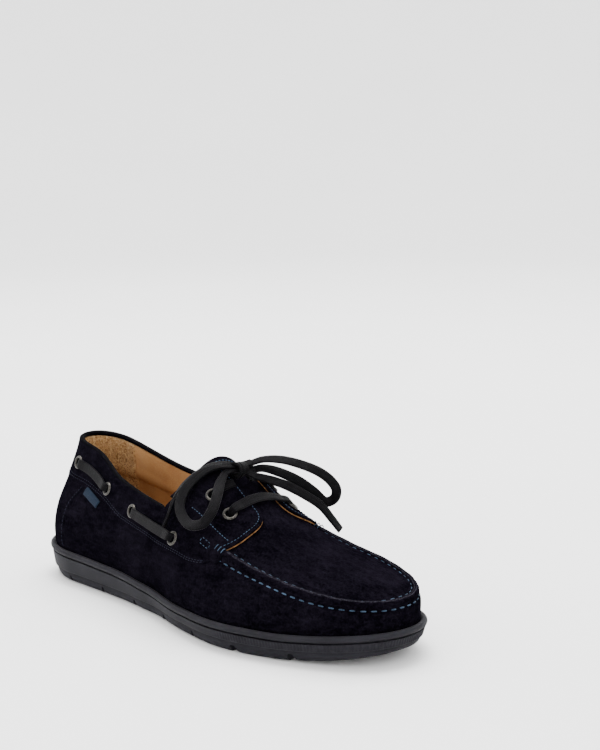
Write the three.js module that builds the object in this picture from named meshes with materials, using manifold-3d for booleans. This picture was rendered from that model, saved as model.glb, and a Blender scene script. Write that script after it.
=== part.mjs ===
// Right boat shoe: a hollow suede upper with moccasin seam and eyestay flaps, tongue, insole,
// rubber cup sole, eyelets, woven tab and flat lace with its bow.
// Millimetres. Toe along +X, medial side along +Y, ground at z = 0, middle of the sole at x = 0.
import * as THREE from "three";
import { mergeVertices } from "three/addons/utils/BufferGeometryUtils.js";
import Module from "manifold-3d";

const wasm = await Module();
wasm.setup();

// ---------------------------------------------------------------- driving dimensions

const SOLE_LENGTH = 300;
const HEEL_X = -SOLE_LENGTH / 2;
const TOE_X = SOLE_LENGTH / 2;
const HEEL_ROUND = 48;
const TOE_ROUND = 87;
const END_POWER = 2.1;

// Widest outline of the sole lip: half width and centre line across, at stations along the shoe.
const OUTLINE = [
  { x: -150, half: 36.5, centre: 0.0 },
  { x: -105, half: 36.5, centre: 0.0 },
  { x: -60, half: 36.5, centre: -1.5 },
  { x: -20, half: 39.0, centre: -3.3 },
  { x: 20, half: 49.0, centre: -2.3 },
  { x: 55, half: 54.5, centre: -0.7 },
  { x: 90, half: 51.0, centre: 0.6 },
  { x: 120, half: 49.0, centre: 1.6 },
  { x: 150, half: 50.0, centre: 2.8 },
];

// Top of the sole lip above the ground.
const LIP = [
  { x: -150, z: 21.6 },
  { x: -60, z: 19.8 },
  { x: 20, z: 16.2 },
  { x: 90, z: 16.2 },
  { x: 150, z: 20.3 },
];

// Top edge of the upper's wall: collar from the heel to the throat corner, then the shoulder
// under the eyestay, then the moccasin seam to the toe. Lean is the wall's slope inward there.
const TOP_LINE = [
  { x: -126.5, half: 15.5, z: 88.0, lean: 14 },
  { x: -98.0, half: 16.5, z: 83.0, lean: 10 },
  { x: -60.0, half: 24.5, z: 71.5, lean: 12 },
  { x: -11.0, half: 30.0, z: 64.4, lean: 22 },
  { x: 15.0, half: 32.3, z: 60.5, lean: 38 },
  { x: 45.0, half: 35.5, z: 50.0, lean: 48 },
  { x: 70.0, half: 36.4, z: 44.0, lean: 50 },
  { x: 100.0, half: 36.4, z: 39.3, lean: 46 },
  { x: 130.0, half: 36.4, z: 35.2, lean: 36 },
  { x: 143.5, half: 36.4, z: 33.8, lean: 28 },
];
const COLLAR_ROUND = 22;
const SEAM_ROUND = 60;
const TOP_POWER = 2.2;

// Rise of the instep and of the toe panel above the line between its two side edges.
const CROWN = [
  { x: -30.0, z: 30.0 },
  { x: -11.0, z: 28.0 },
  { x: 19.0, z: 22.0 },
  { x: 33.0, z: 16.8 },
  { x: 45.0, z: 13.0 },
  { x: 70.0, z: 9.0 },
  { x: 100.0, z: 7.0 },
  { x: 130.0, z: 4.0 },
  { x: 143.5, z: 0.8 },
];

const SUEDE = 2.0; // wall of the upper
const GAP = 0.3; // between pieces that touch
const CUP_INSET = 3.6; // lip edge to the cup's inner wall
const CUP_DEPTH = 6.0; // lip top to the cup's floor
const WALL_FLARE = 6; // degrees outward where the wall leaves the sole
const WALL_FULLNESS = 0.42;
const INSOLE_THICK = 4.0;

const TOE_SPRING = 7.0;
const SPRING_START = 75;
const CHANNEL_FIRST = -107;
const CHANNEL_PITCH = 35;
const CHANNEL_DEPTH = 3.0;
const CHANNEL_WIDTHS = [2.6, 2.6, 2.6, 2.6, 2.6, 4.2, 4.2];
const CHANNEL_REACH = 140; // wider than the sole
const GROOVE_DROP = 4.0; // lip top to the groove under it

const PANEL_START = 34; // rear edge of the toe panel, under the eyestay flaps
const SEAM_START = 43; // rear end of the raised moccasin seam
const SEAM_RADIUS = 2.0;
const SEAM_SINK = 0.3; // the ridge's middle below the top line

const FLAP_REAR = 9;
const FLAP_FRONT = { lateral: 52, medial: 48 };
const FLAP_LIFT = 0.7; // underside of the flap above the panel and tongue
const FLAP_THICK = 2.0;
const FLAP_CORNER = 13;
const FLAP_POWER = 2.4;
const FLAP_SQUARE = 0.45; // share of the flap's width in front that stays straight
const FLAP_ROOT_FALL = 4; // how far the front edge falls back at the root
const FLAP_ROOT_SHARE = 0.35;
const FLAP_INNER = { lateral: -0.13, medial: 0.4 }; // as a share of the half width

const TONGUE_REACH = 0.88; // half width of the tongue as a share of the instep's
const TONGUE_TIP = 1.0;
const TONGUE_SIDE = -9.0;
const TONGUE_POWER = 3.2;
const TONGUE_CURL = { rise: 3.0, middle: 0.25, half: 0.8, depth: 7 }; // the free end's lift

const EYELET = { outer: 4.2, hole: 2.7, thick: 1.0 };
const LACE_WIDE = 6.0;
const LACE_THICK = 1.5;
const CORD_RADIUS = 1.5;
const CORD_STEP = 7;
const BAR_OVERRUN = 0.012; // how far a collar bar reaches past its eyelets, round the wall
const FLAP_OVERRUN = 0.06; // how far laces reach past a flap eyelet, as a share of the half width
const TAB = { x: -89, v: 0.62, long: 20, tall: 7, thick: 1.0, tilt: 0.4 };

const SIDE_STATIONS = 32;
const WALL_ROWS = 9;

const COLOURS = {
  rubber: { color: 0x2a2b30, roughness: 0.75, metalness: 0 },
  suede: { color: 0x15152a, roughness: 0.95, metalness: 0 },
  leather: { color: 0xc79a62, roughness: 0.7, metalness: 0 },
  nickel: { color: 0xb9b8b4, roughness: 0.3, metalness: 1 },
  lace: { color: 0x26262b, roughness: 0.7, metalness: 0 },
  tab: { color: 0x46586e, roughness: 0.9, metalness: 0 },
};

// ---------------------------------------------------------------- curves through the tables

// Monotone cubic through one column of a table, over its x column.
function columnCurve(table, column) {
  const xs = table.map((row) => row.x);
  const ys = table.map((row) => row[column]);
  const steps = xs.slice(1).map((x, i) => x - xs[i]);
  const rises = steps.map((step, i) => (ys[i + 1] - ys[i]) / step);
  const slopes = ys.map((_, i) => {
    if (i === 0) return rises[0];
    if (i === ys.length - 1) return rises[i - 1];
    if (rises[i - 1] * rises[i] <= 0) return 0;
    const before = 2 * steps[i] + steps[i - 1];
    const after = steps[i] + 2 * steps[i - 1];
    return (before + after) / (before / rises[i - 1] + after / rises[i]);
  });
  return (x) => {
    const at = THREE.MathUtils.clamp(x, xs[0], xs[xs.length - 1]);
    let i = 0;
    while (i < steps.length - 1 && at > xs[i + 1]) i += 1;
    const t = (at - xs[i]) / steps[i];
    const cubic = t * t * (3 - 2 * t);
    const start = t * (1 - t) * (1 - t) * steps[i] * slopes[i];
    const end = t * t * (t - 1) * steps[i] * slopes[i + 1];
    return ys[i] + (ys[i + 1] - ys[i]) * cubic + start + end;
  };
}

const outlineHalf = columnCurve(OUTLINE, "half");
const centreLine = columnCurve(OUTLINE, "centre");
const lipTop = columnCurve(LIP, "z");
const topHalf = columnCurve(TOP_LINE, "half");
const topHeight = columnCurve(TOP_LINE, "z");
const topLean = columnCurve(TOP_LINE, "lean");
const crownHeight = columnCurve(CROWN, "z");

// 1 along the sides, falling to 0 at both ends in superellipse quarters.
function endRound(x, start, end, startLength, endLength, power) {
  const fromStart = THREE.MathUtils.clamp((start + startLength - x) / startLength, 0, 1);
  const fromEnd = THREE.MathUtils.clamp((x - end + endLength) / endLength, 0, 1);
  const quarter = (share) => (1 - share ** power) ** (1 / power);
  return quarter(fromStart) * quarter(fromEnd);
}

// u runs 0 to 1 from heel to toe along the lateral side and 1 to 2 back along the medial side.
function loopPlace(u, start, end) {
  const turn = ((u % 2) + 2) % 2;
  const share = turn < 1 ? turn : 2 - turn;
  const side = turn < 1 ? -1 : 1;
  return { x: start + ((end - start) * (1 - Math.cos(Math.PI * share))) / 2, side };
}

function outlinePoint(u) {
  const { x, side } = loopPlace(u, HEEL_X, TOE_X);
  const half = outlineHalf(x) * endRound(x, HEEL_X, TOE_X, HEEL_ROUND, TOE_ROUND, END_POWER);
  return new THREE.Vector2(x, centreLine(x) + side * half);
}

function inwardNormal(u) {
  const ahead = outlinePoint(u + 0.001).sub(outlinePoint(u - 0.001)).normalize();
  return new THREE.Vector2(-ahead.y, ahead.x);
}

function insetPoint(u, inset, z) {
  const point = outlinePoint(u).addScaledVector(inwardNormal(u), inset);
  return new THREE.Vector3(point.x, point.y, z);
}

const TOP_START = TOP_LINE[0].x;
const TOP_END = TOP_LINE[TOP_LINE.length - 1].x;

function topHalfAt(x) {
  return topHalf(x) * endRound(x, TOP_START, TOP_END, COLLAR_ROUND, SEAM_ROUND, TOP_POWER);
}

function topPoint(u) {
  const { x, side } = loopPlace(u, TOP_START, TOP_END);
  return new THREE.Vector3(x, centreLine(x) + side * topHalfAt(x), topHeight(x));
}

// Outside of the upper's wall: v is 0 at the sole lip and 1 at the top line.
function wallPoint(u, v) {
  const x = outlinePoint(u).x;
  const foot = insetPoint(u, CUP_INSET + GAP, lipTop(x));
  const top = topPoint(u);
  const inward = inwardNormal(u);
  const reach = WALL_FULLNESS * (top.z - foot.z);
  const flare = THREE.MathUtils.degToRad(WALL_FLARE);
  const lean = THREE.MathUtils.degToRad(topLean(top.x));
  const slope = (angle) =>
    new THREE.Vector3(inward.x * Math.sin(angle), inward.y * Math.sin(angle), Math.cos(angle));
  const low = foot.clone().addScaledVector(slope(-flare), reach);
  const high = top.clone().addScaledVector(slope(lean), -reach);
  return new THREE.CubicBezierCurve3(foot, low, high, top).getPoint(v);
}

function surfaceNormal(surface, a, b, step) {
  const across = surface(a + step, b).sub(surface(a - step, b));
  const along = surface(a, Math.min(b + step, 1)).sub(surface(a, Math.max(b - step, -1)));
  return across.cross(along).normalize();
}

function wallNormal(u, v) {
  return surfaceNormal(wallPoint, u, THREE.MathUtils.clamp(v, 0.01, 0.99), 0.005);
}

// Top of the instep and toe panel: share is -1 at the lateral edge and 1 at the medial edge.
function instepPoint(x, share) {
  const y = centreLine(x) + share * topHalfAt(x);
  return new THREE.Vector3(x, y, topHeight(x) + crownHeight(x) * (1 - share * share));
}

function instepNormal(x, share) {
  const along = instepPoint(x + 0.5, share).sub(instepPoint(x - 0.5, share));
  const across = instepPoint(x, share + 0.02).sub(instepPoint(x, share - 0.02));
  return along.cross(across).normalize();
}

function soleBottom(x) {
  return x > SPRING_START ? TOE_SPRING * ((x - SPRING_START) / (TOE_X - SPRING_START)) ** 2 : 0;
}

// ---------------------------------------------------------------- closed solids from rows of points

function closedGeometry(points, triangles) {
  let volume = 0;
  for (const [a, b, c] of triangles) {
    volume += points[a].dot(points[b].clone().cross(points[c]));
  }
  const faces = volume < 0 ? triangles.map(([a, b, c]) => [a, c, b]) : triangles;
  const geometry = new THREE.BufferGeometry();
  const places = points.flatMap((point) => point.toArray());
  geometry.setAttribute("position", new THREE.Float32BufferAttribute(places, 3));
  geometry.setIndex(faces.flat());
  return geometry;
}

// Joins equal closed loops one after another. Open stacks get a ladder of faces over each end.
function loopSolid(loops, closed = false) {
  const count = loops[0].length;
  const points = loops.flat();
  const triangles = [];
  const last = closed ? loops.length : loops.length - 1;
  for (let row = 0; row < last; row += 1) {
    const next = (row + 1) % loops.length;
    for (let i = 0; i < count; i += 1) {
      const j = (i + 1) % count;
      triangles.push([row * count + i, row * count + j, next * count + j]);
      triangles.push([row * count + i, next * count + j, next * count + i]);
    }
  }
  const cap = (base, flip) => {
    for (let i = 0; i < count / 2; i += 1) {
      const quad = [i, i + 1, (count - i - 1) % count, (count - i) % count].map((k) => base + k);
      for (const face of [[quad[0], quad[2], quad[1]], [quad[0], quad[3], quad[2]]]) {
        if (new Set(face).size === 3) triangles.push(flip ? face.reverse() : face);
      }
    }
  };
  if (!closed) {
    cap(0, false);
    cap((loops.length - 1) * count, true);
  }
  return closedGeometry(points, triangles);
}

// A plate under a grid of points, thickened along the given downward offsets.
function plateSolid(upper, lower) {
  const loops = upper.map((row, i) => [...row, ...lower[i].slice().reverse()]);
  return loopSolid(loops);
}

function loopStations(count = SIDE_STATIONS) {
  return Array.from({ length: 2 * count }, (_, i) => i / count);
}

function soleLoop(inset, height) {
  return loopStations().map((u) => insetPoint(u, inset, height(outlinePoint(u).x)));
}

function toManifold(geometry) {
  const bare = geometry.index ? geometry.clone() : geometry;
  bare.deleteAttribute("normal");
  bare.deleteAttribute("uv");
  const merged = mergeVertices(bare, 0.0001);
  const vertProperties = new Float32Array(merged.attributes.position.array);
  const triVerts = new Uint32Array(merged.index.array);
  return new wasm.Manifold(new wasm.Mesh({ numProp: 3, vertProperties, triVerts }));
}

function fromManifold(solid) {
  const mesh = solid.getMesh();
  const geometry = new THREE.BufferGeometry();
  const places = new Float32Array(mesh.vertProperties);
  geometry.setAttribute("position", new THREE.BufferAttribute(places, 3));
  geometry.setIndex(new THREE.BufferAttribute(new Uint32Array(mesh.triVerts), 1));
  return geometry;
}

// ---------------------------------------------------------------- outsole

// Side profile from the ground up: inset from the lip's edge and height at a place along the shoe.
// The lower band is 4.0, 6.4 and 7.2 high at its bends, and gets thinner towards the raised toe.
function soleProfile() {
  const groove = (x) => lipTop(x) - GROOVE_DROP;
  const lower = (full, lost) => (x) => soleBottom(x) + full - lost * springShare(x);
  return [
    { inset: 7.6, height: soleBottom },
    { inset: 5.4, height: lower(1.2, 0) },
    { inset: 4.0, height: lower(4.0, 1.2) },
    { inset: 3.7, height: lower(6.4, 2.4) },
    { inset: 2.7, height: lower(7.2, 2.6) },
    { inset: 1.2, height: (x) => groove(x) - 0.5 },
    { inset: 2.6, height: groove },
    { inset: 0.5, height: (x) => groove(x) + 0.6 },
    { inset: 0.0, height: (x) => lipTop(x) - 1.8 },
    { inset: 0.7, height: (x) => lipTop(x) - 0.4 },
    { inset: 2.0, height: lipTop },
    { inset: CUP_INSET, height: (x) => lipTop(x) - 0.5 },
    { inset: CUP_INSET, height: (x) => lipTop(x) - CUP_DEPTH },
  ];
}

function springShare(x) {
  return soleBottom(x) / TOE_SPRING;
}

function outsole() {
  const body = toManifold(loopSolid(soleProfile().map(({ inset, height }) => soleLoop(inset, height))));
  const cutters = CHANNEL_WIDTHS.map((width, i) => {
    const x = CHANNEL_FIRST + CHANNEL_PITCH * i;
    const depth = CHANNEL_DEPTH + soleBottom(x);
    const cutter = new THREE.BoxGeometry(width, CHANNEL_REACH, 2 * depth);
    cutter.translate(x, 0, 0);
    return toManifold(cutter);
  });
  return fromManifold(cutters.reduce((solid, cutter) => solid.subtract(cutter), body));
}

// ---------------------------------------------------------------- insole

// Its top edge is chamfered.
function insole() {
  const inset = CUP_INSET + GAP + SUEDE + GAP;
  const chamfer = { across: 1.2, down: 0.8 };
  const under = (x) => lipTop(x) - CUP_DEPTH + GAP;
  return loopSolid([
    soleLoop(inset, under),
    soleLoop(inset, (x) => under(x) + INSOLE_THICK - chamfer.down),
    soleLoop(inset + chamfer.across, (x) => under(x) + INSOLE_THICK),
  ]);
}

// ---------------------------------------------------------------- upper

// Wall: outside rows going up, then inside rows coming down, closed under the insole's edge.
function wallShell() {
  const stations = loopStations();
  const rows = Array.from({ length: WALL_ROWS + 1 }, (_, i) => i / WALL_ROWS);
  const outer = rows.map((v) => stations.map((u) => wallPoint(u, v)));
  const inner = rows.map((v) =>
    stations.map((u) => wallPoint(u, v).addScaledVector(wallNormal(u, v), -SUEDE)),
  );
  const hem = (x) => lipTop(x) - CUP_DEPTH + GAP;
  const outerHem = soleLoop(CUP_INSET + GAP, hem);
  const innerHem = soleLoop(CUP_INSET + GAP + SUEDE, hem);
  return loopSolid([outerHem, ...outer, ...inner.reverse(), innerHem], true);
}

function instepPlate(columns, shares, lift, thick) {
  const upper = columns.map((x, i) =>
    shares(x, i).map((s) => instepPoint(x, s).addScaledVector(instepNormal(x, s), lift + thick)),
  );
  const lower = columns.map((x, i) =>
    shares(x, i).map((s) => instepPoint(x, s).addScaledVector(instepNormal(x, s), lift)),
  );
  return plateSolid(upper, lower);
}

function evenShares(from, to, count) {
  return Array.from({ length: count + 1 }, (_, i) => from + ((to - from) * i) / count);
}

// Its columns crowd together towards the toe, where its outline turns.
function toePanel() {
  const columnCount = 18;
  const rowCount = 10;
  const length = TOP_END - SEAM_SINK - PANEL_START;
  const columns = evenShares(0, 1, columnCount).map(
    (s) => PANEL_START + length * Math.sin((s * Math.PI) / 2),
  );
  return instepPlate(columns, () => evenShares(-1, 1, rowCount), -SUEDE, SUEDE);
}

// Raised moccasin seam around the toe panel: a cord-like ridge over the two cut edges.
function seamRidge() {
  const sides = 8;
  const stations = [];
  for (const u of loopStations()) {
    const { x } = loopPlace(u, TOP_START, TOP_END);
    if (x > SEAM_START) stations.push(u);
  }
  const loops = stations.map((u) => {
    const ahead = topPoint(u + 0.004).sub(topPoint(u - 0.004)).normalize();
    const side = new THREE.Vector3(-ahead.y, ahead.x, 0).normalize();
    const rise = new THREE.Vector3().crossVectors(ahead, side).normalize();
    const heart = topPoint(u).addScaledVector(rise, -SEAM_SINK);
    return Array.from({ length: sides }, (_, k) => {
      const turn = ((k + 0.5) * 2 * Math.PI) / sides;
      return heart
        .clone()
        .addScaledVector(side, SEAM_RADIUS * Math.cos(turn))
        .addScaledVector(rise, SEAM_RADIUS * Math.sin(turn));
    });
  });
  return loopSolid(loops);
}

// How far an eyestay flap's front edge falls back: at its root, and round its inner corner.
// Across is 0 at the root and 1 at the inner edge.
function flapFall(across) {
  const past = THREE.MathUtils.clamp((across - FLAP_SQUARE) / (1 - FLAP_SQUARE), 0, 1);
  const nearRoot = Math.max(1 - across / FLAP_ROOT_SHARE, 0);
  const corner = FLAP_CORNER * (1 - (1 - past ** FLAP_POWER) ** (1 / FLAP_POWER));
  return corner + FLAP_ROOT_FALL * nearRoot ** 2;
}

function eyestayFlap(sideName) {
  const inner = FLAP_INNER[sideName];
  const root = Math.sign(inner);
  const rows = evenShares(0, 1, 10);
  const columns = evenShares(0, 1, 9).map((across) => Math.sin((across * Math.PI) / 2));
  const grid = (lift) =>
    rows.map((row) =>
      columns.map((across) => {
        const share = root - (root - inner) * across;
        const front = FLAP_FRONT[sideName] - flapFall(across);
        const x = THREE.MathUtils.lerp(FLAP_REAR, front, row);
        return instepPoint(x, share).addScaledVector(instepNormal(x, share), lift);
      }),
    );
  return plateSolid(grid(FLAP_LIFT + FLAP_THICK), grid(FLAP_LIFT));
}

// Section of a flap's root: across inward from the top line, and rise above it.
const ROOT_SECTION = [
  { across: -0.3, rise: -1.0 },
  { across: 2.2, rise: -1.2 },
  { across: 2.6, rise: 2.6 },
  { across: 1.0, rise: 2.5 },
  { across: -0.3, rise: 0.8 },
  { across: -0.3, rise: -0.1 },
];

// Joins each flap's root to the wall's top edge.
function flapRoot(sideName) {
  const sideStations = 60;
  const front = FLAP_FRONT[sideName] - FLAP_ROOT_FALL;
  const stations = loopStations(sideStations).filter((u) => {
    const place = loopPlace(u, TOP_START, TOP_END);
    const onSide = place.side === Math.sign(FLAP_INNER[sideName]);
    return onSide && place.x > FLAP_REAR && place.x < front;
  });
  const loops = stations.map((u) => {
    const top = topPoint(u);
    const inward = inwardNormal(u);
    return ROOT_SECTION.map(
      ({ across, rise }) =>
        new THREE.Vector3(top.x + inward.x * across, top.y + inward.y * across, top.z + rise),
    );
  });
  return loopSolid(loops);
}

function upper() {
  const pieces = [
    wallShell(),
    toePanel(),
    seamRidge(),
    eyestayFlap("lateral"),
    eyestayFlap("medial"),
    flapRoot("lateral"),
    flapRoot("medial"),
  ];
  return fromManifold(pieces.map(toManifold).reduce((solid, piece) => solid.add(piece)));
}

// ---------------------------------------------------------------- tongue

function tongueRear(s) {
  return TONGUE_TIP - (TONGUE_TIP - TONGUE_SIDE) * Math.abs(s) ** TONGUE_POWER;
}

// How far the free end stands up off the instep: none under the flaps.
function tongueCurl(x, s) {
  const { rise, middle, half, depth } = TONGUE_CURL;
  const across = 1 - ((s - middle) / half) ** 2;
  const along = 1 - (x - tongueRear(s)) / depth;
  return rise * Math.max(across, 0) * Math.max(along, 0) ** 1.5;
}

// The rear edge is a rounded trapezoid: highest in the middle, falling back to the throat corners.
function tongue() {
  const rows = evenShares(0, 1, 12).map((row) => row ** 1.15);
  const shares = evenShares(-1, 1, 16);
  const grid = (lift) =>
    rows.map((row) =>
      shares.map((s) => {
        const x = THREE.MathUtils.lerp(tongueRear(s), PANEL_START - 2 * GAP, row);
        const share = s * TONGUE_REACH;
        const rise = tongueCurl(x, s) + lift;
        return instepPoint(x, share).addScaledVector(instepNormal(x, share), rise);
      }),
    );
  return plateSolid(grid(0), grid(-SUEDE));
}

// ---------------------------------------------------------------- eyelets

// Place along the top line is x; up is the share of the wall's height.
const COLLAR_EYELETS = [
  { name: "1", x: -113, up: 0.83 },
  { name: "2", x: -73, up: 0.82 },
  { name: "3", x: -40, up: 0.79 },
  { name: "4", x: 8, up: 0.75 },
];
const FLAP_EYELETS = {
  lateral: [
    { name: "rear", x: 21, share: -0.58 },
    { name: "front", x: 35, share: -0.57 },
  ],
  medial: [
    { name: "rear", x: 21, share: 0.68 },
    { name: "front", x: 35.5, share: 0.7 },
  ],
};

// A rolled ring: its back edge is chamfered by 0.3 and its crest is 0.4 wide or so.
function eyelet() {
  const { outer, hole, thick } = EYELET;
  const ringSides = 12;
  const profile = [
    [hole, 0],
    [outer - 0.3, 0],
    [outer, thick * 0.4],
    [outer - 0.7, thick],
    [hole + 0.4, thick],
    [hole, 0],
  ].map(([radius, height]) => new THREE.Vector2(radius, height));
  const ring = new THREE.LatheGeometry(profile, ringSides);
  ring.rotateX(Math.PI / 2);
  return ring;
}

// Place around the wall where it stands at x, on the lateral (-1) or medial (1) side.
function stationAt(x, v, side) {
  let low = 0;
  let high = 1;
  for (let step = 0; step < 40; step += 1) {
    const middle = (low + high) / 2;
    if (wallPoint(middle, v).x < x) low = middle;
    else high = middle;
  }
  return side < 0 ? low : 2 - low;
}

function collarPlaces(side) {
  return COLLAR_EYELETS.map(({ name, x, up }) => ({ name, u: stationAt(x, up, side), v: up }));
}

// ---------------------------------------------------------------- lace

// Shares of half the lace's width and of half its thickness.
const STRAP_SECTION = [
  [-1, -0.5],
  [-0.85, -1],
  [0.85, -1],
  [1, -0.5],
  [1, 0.5],
  [0.85, 1],
  [-0.85, 1],
  [-1, 0.5],
];

// A flat strap along a path of centres, each with the direction it faces.
function strap(path) {
  const loops = path.map(({ centre, face }, i) => {
    const before = path[Math.max(i - 1, 0)].centre;
    const after = path[Math.min(i + 1, path.length - 1)].centre;
    const along = after.clone().sub(before).normalize();
    const wide = along.clone().cross(face).normalize();
    const thick = wide.clone().cross(along).normalize();
    return STRAP_SECTION.map(([a, b]) =>
      centre
        .clone()
        .addScaledVector(wide, (a * LACE_WIDE) / 2)
        .addScaledVector(thick, (b * LACE_THICK) / 2),
    );
  });
  return loopSolid(loops);
}

const LACE_LIFT = GAP + EYELET.thick + 2 * GAP + LACE_THICK / 2;

function collarBar(from, to) {
  const overrun = BAR_OVERRUN * Math.sign(to.u - from.u);
  return strap(
    evenShares(0, 1, 8).map((t) => {
      const u = THREE.MathUtils.lerp(from.u - overrun, to.u + overrun, t);
      const v = THREE.MathUtils.lerp(from.v, to.v, t);
      const face = wallNormal(u, v);
      return { centre: wallPoint(u, v).addScaledVector(face, LACE_LIFT), face };
    }),
  );
}

function frontBar() {
  const [, start] = FLAP_EYELETS.lateral;
  const [, end] = FLAP_EYELETS.medial;
  const { x } = start;
  const lift = FLAP_LIFT + FLAP_THICK + LACE_LIFT;
  return strap(
    evenShares(start.share - FLAP_OVERRUN, end.share + FLAP_OVERRUN, 12).map((share) => {
      const face = instepNormal(x, share);
      return { centre: instepPoint(x, share).addScaledVector(face, lift), face };
    }),
  );
}

const KNOT = { centre: new THREE.Vector3(24.3, -5.2, 87), wide: 6.2, tall: 4.8, deep: 5.6 };
const STRAND_END = { lateral: -0.26, medial: 0.1 }; // share of the half width, beside the knot

// From a rear flap eyelet over the flap to the side of the knot.
function strand(sideName) {
  const [eyeletPlace] = FLAP_EYELETS[sideName];
  const outside = eyeletPlace.share + FLAP_OVERRUN * Math.sign(eyeletPlace.share);
  const lift = FLAP_LIFT + FLAP_THICK + LACE_LIFT;
  return strap(
    evenShares(0, 1, 7).map((t) => {
      const x = THREE.MathUtils.lerp(eyeletPlace.x, KNOT.centre.x - CORD_RADIUS, t);
      const share = THREE.MathUtils.lerp(outside, STRAND_END[sideName], t);
      const face = instepNormal(x, share);
      return { centre: instepPoint(x, share).addScaledVector(face, lift), face };
    }),
  );
}

function knot() {
  const lump = new THREE.SphereGeometry(1, 12, 8);
  lump.scale(KNOT.deep, KNOT.wide, KNOT.tall);
  lump.translate(KNOT.centre.x, KNOT.centre.y, KNOT.centre.z);
  return lump;
}

// Routes of the free lace, from the knot outward. The loops come back to the knot.
const LACE_ROUTES = {
  lace_loop_left: [
    [18.0, -11.7, 89.4], [13, -17.6, 88], [9.4, -25, 83.4], [9.4, -33.3, 77], [13.5, -40, 70.4],
    [22, -44.2, 65.4], [32, -46.2, 63.6], [39.6, -44.4, 66], [40.6, -39.3, 71.6], [35.4, -31, 78],
    [27.2, -21.6, 82.8], [21.4, -13.4, 85.8],
  ],
  lace_loop_right: [
    [25.2, 3.4, 90.0], [28.5, 9, 91.6], [33.5, 18, 91], [39.5, 28, 87.6], [45.6, 38, 82],
    [49, 43.6, 76.4], [50, 46.6, 71], [48.2, 46.6, 65.6], [44.5, 43.4, 63.4], [41, 37, 70],
    [37.4, 29, 77], [32.8, 18, 83.4], [28.9, 9, 86.6], [26.6, 3.8, 86.4],
  ],
  lace_end_right: [
    [30.2, 1.2, 83.6], [33.3, 8, 81.2], [37.2, 18, 76.8], [42.8, 29, 69.6], [47.3, 37, 62.8],
    [50.8, 42, 55], [54, 46, 48],
  ],
  lace_end_left: [
    [15.8, -6.6, 89.6], [10.5, -13, 89], [5, -20.5, 84.5], [2, -29, 78], [3, -36.5, 71.5],
    [5, -41.5, 64.5], [4, -44.5, 57.5],
  ],
};

function cordTube(route) {
  const sides = 8;
  const places = route.map(([x, y, z]) => new THREE.Vector3(x, y, z));
  const path = new THREE.CatmullRomCurve3(places, false, "centripetal");
  const corners = Array.from({ length: sides }, (_, k) => {
    const turn = (k * 2 * Math.PI) / sides;
    return new THREE.Vector2(CORD_RADIUS * Math.cos(turn), CORD_RADIUS * Math.sin(turn));
  });
  const section = new THREE.Shape(corners);
  const steps = Math.round(path.getLength() / CORD_STEP);
  return new THREE.ExtrudeGeometry(section, { steps, bevelEnabled: false, extrudePath: path });
}

// ---------------------------------------------------------------- woven tab

// Small blank loop label sewn under the collar strip on the lateral heel.
function wovenTab() {
  const u = stationAt(TAB.x, TAB.v, -1);
  const face = wallNormal(u, TAB.v);
  const middle = wallPoint(u, TAB.v).addScaledVector(face, GAP + 0.6 * TAB.thick);
  const label = new THREE.BoxGeometry(TAB.long, TAB.tall, TAB.thick);
  const reach = 0.03;
  const ahead = wallPoint(u + reach, TAB.v - TAB.tilt * reach);
  const behind = wallPoint(u - reach, TAB.v + TAB.tilt * reach);
  const along = ahead.sub(behind);
  along.addScaledVector(face, -along.dot(face)).normalize();
  const turn = new THREE.Matrix4().makeBasis(along, face.clone().cross(along), face);
  label.applyMatrix4(turn);
  label.translate(middle.x, middle.y, middle.z);
  return label;
}

// ---------------------------------------------------------------- assembly

const group = new THREE.Group();
const finishes = Object.fromEntries(
  Object.entries(COLOURS).map(([name, values]) => [name, new THREE.MeshStandardMaterial(values)]),
);

function addPiece(name, geometry, finish) {
  const mesh = new THREE.Mesh(geometry, finishes[finish]);
  mesh.name = name;
  group.add(mesh);
  return mesh;
}

function addEyelet(name, point, normal) {
  const ring = addPiece(name, eyelet(), "nickel");
  ring.position.copy(point.addScaledVector(normal, GAP));
  ring.quaternion.setFromUnitVectors(new THREE.Vector3(0, 0, 1), normal);
}

const sole = addPiece("outsole", outsole(), "rubber");
addPiece("insole", insole(), "leather");
addPiece("upper", upper(), "suede");
addPiece("tongue", tongue(), "suede");
addPiece("woven_tab", wovenTab(), "tab");

for (const [sideName, side] of [["lateral", -1], ["medial", 1]]) {
  const places = collarPlaces(side);
  for (const { name, u, v } of places) {
    addEyelet(`eyelet_collar_${sideName}_${name}`, wallPoint(u, v), wallNormal(u, v));
  }
  addPiece(`lace_bar_${sideName}_rear`, collarBar(places[0], places[1]), "lace");
  addPiece(`lace_bar_${sideName}_front`, collarBar(places[2], places[3]), "lace");
  for (const place of FLAP_EYELETS[sideName]) {
    const normal = instepNormal(place.x, place.share);
    const top = instepPoint(place.x, place.share);
    top.addScaledVector(normal, FLAP_LIFT + FLAP_THICK);
    addEyelet(`eyelet_flap_${sideName}_${place.name}`, top, normal);
  }
  addPiece(`lace_strand_${sideName}`, strand(sideName), "lace");
}

addPiece("lace_bar_front", frontBar(), "lace");
addPiece("lace_knot", knot(), "lace");
for (const [name, route] of Object.entries(LACE_ROUTES)) {
  addPiece(name, cordTube(route), "lace");
}

// The origin is the middle of the sole's box, on the ground.
const soleBox = new THREE.Box3().setFromObject(sole);
const soleMiddle = soleBox.getCenter(new THREE.Vector3());
group.position.set(-soleMiddle.x, -soleMiddle.y, -soleBox.min.z);

export default group;
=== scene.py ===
import math

import bpy
import numpy as np
from mathutils import Matrix, Vector


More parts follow.
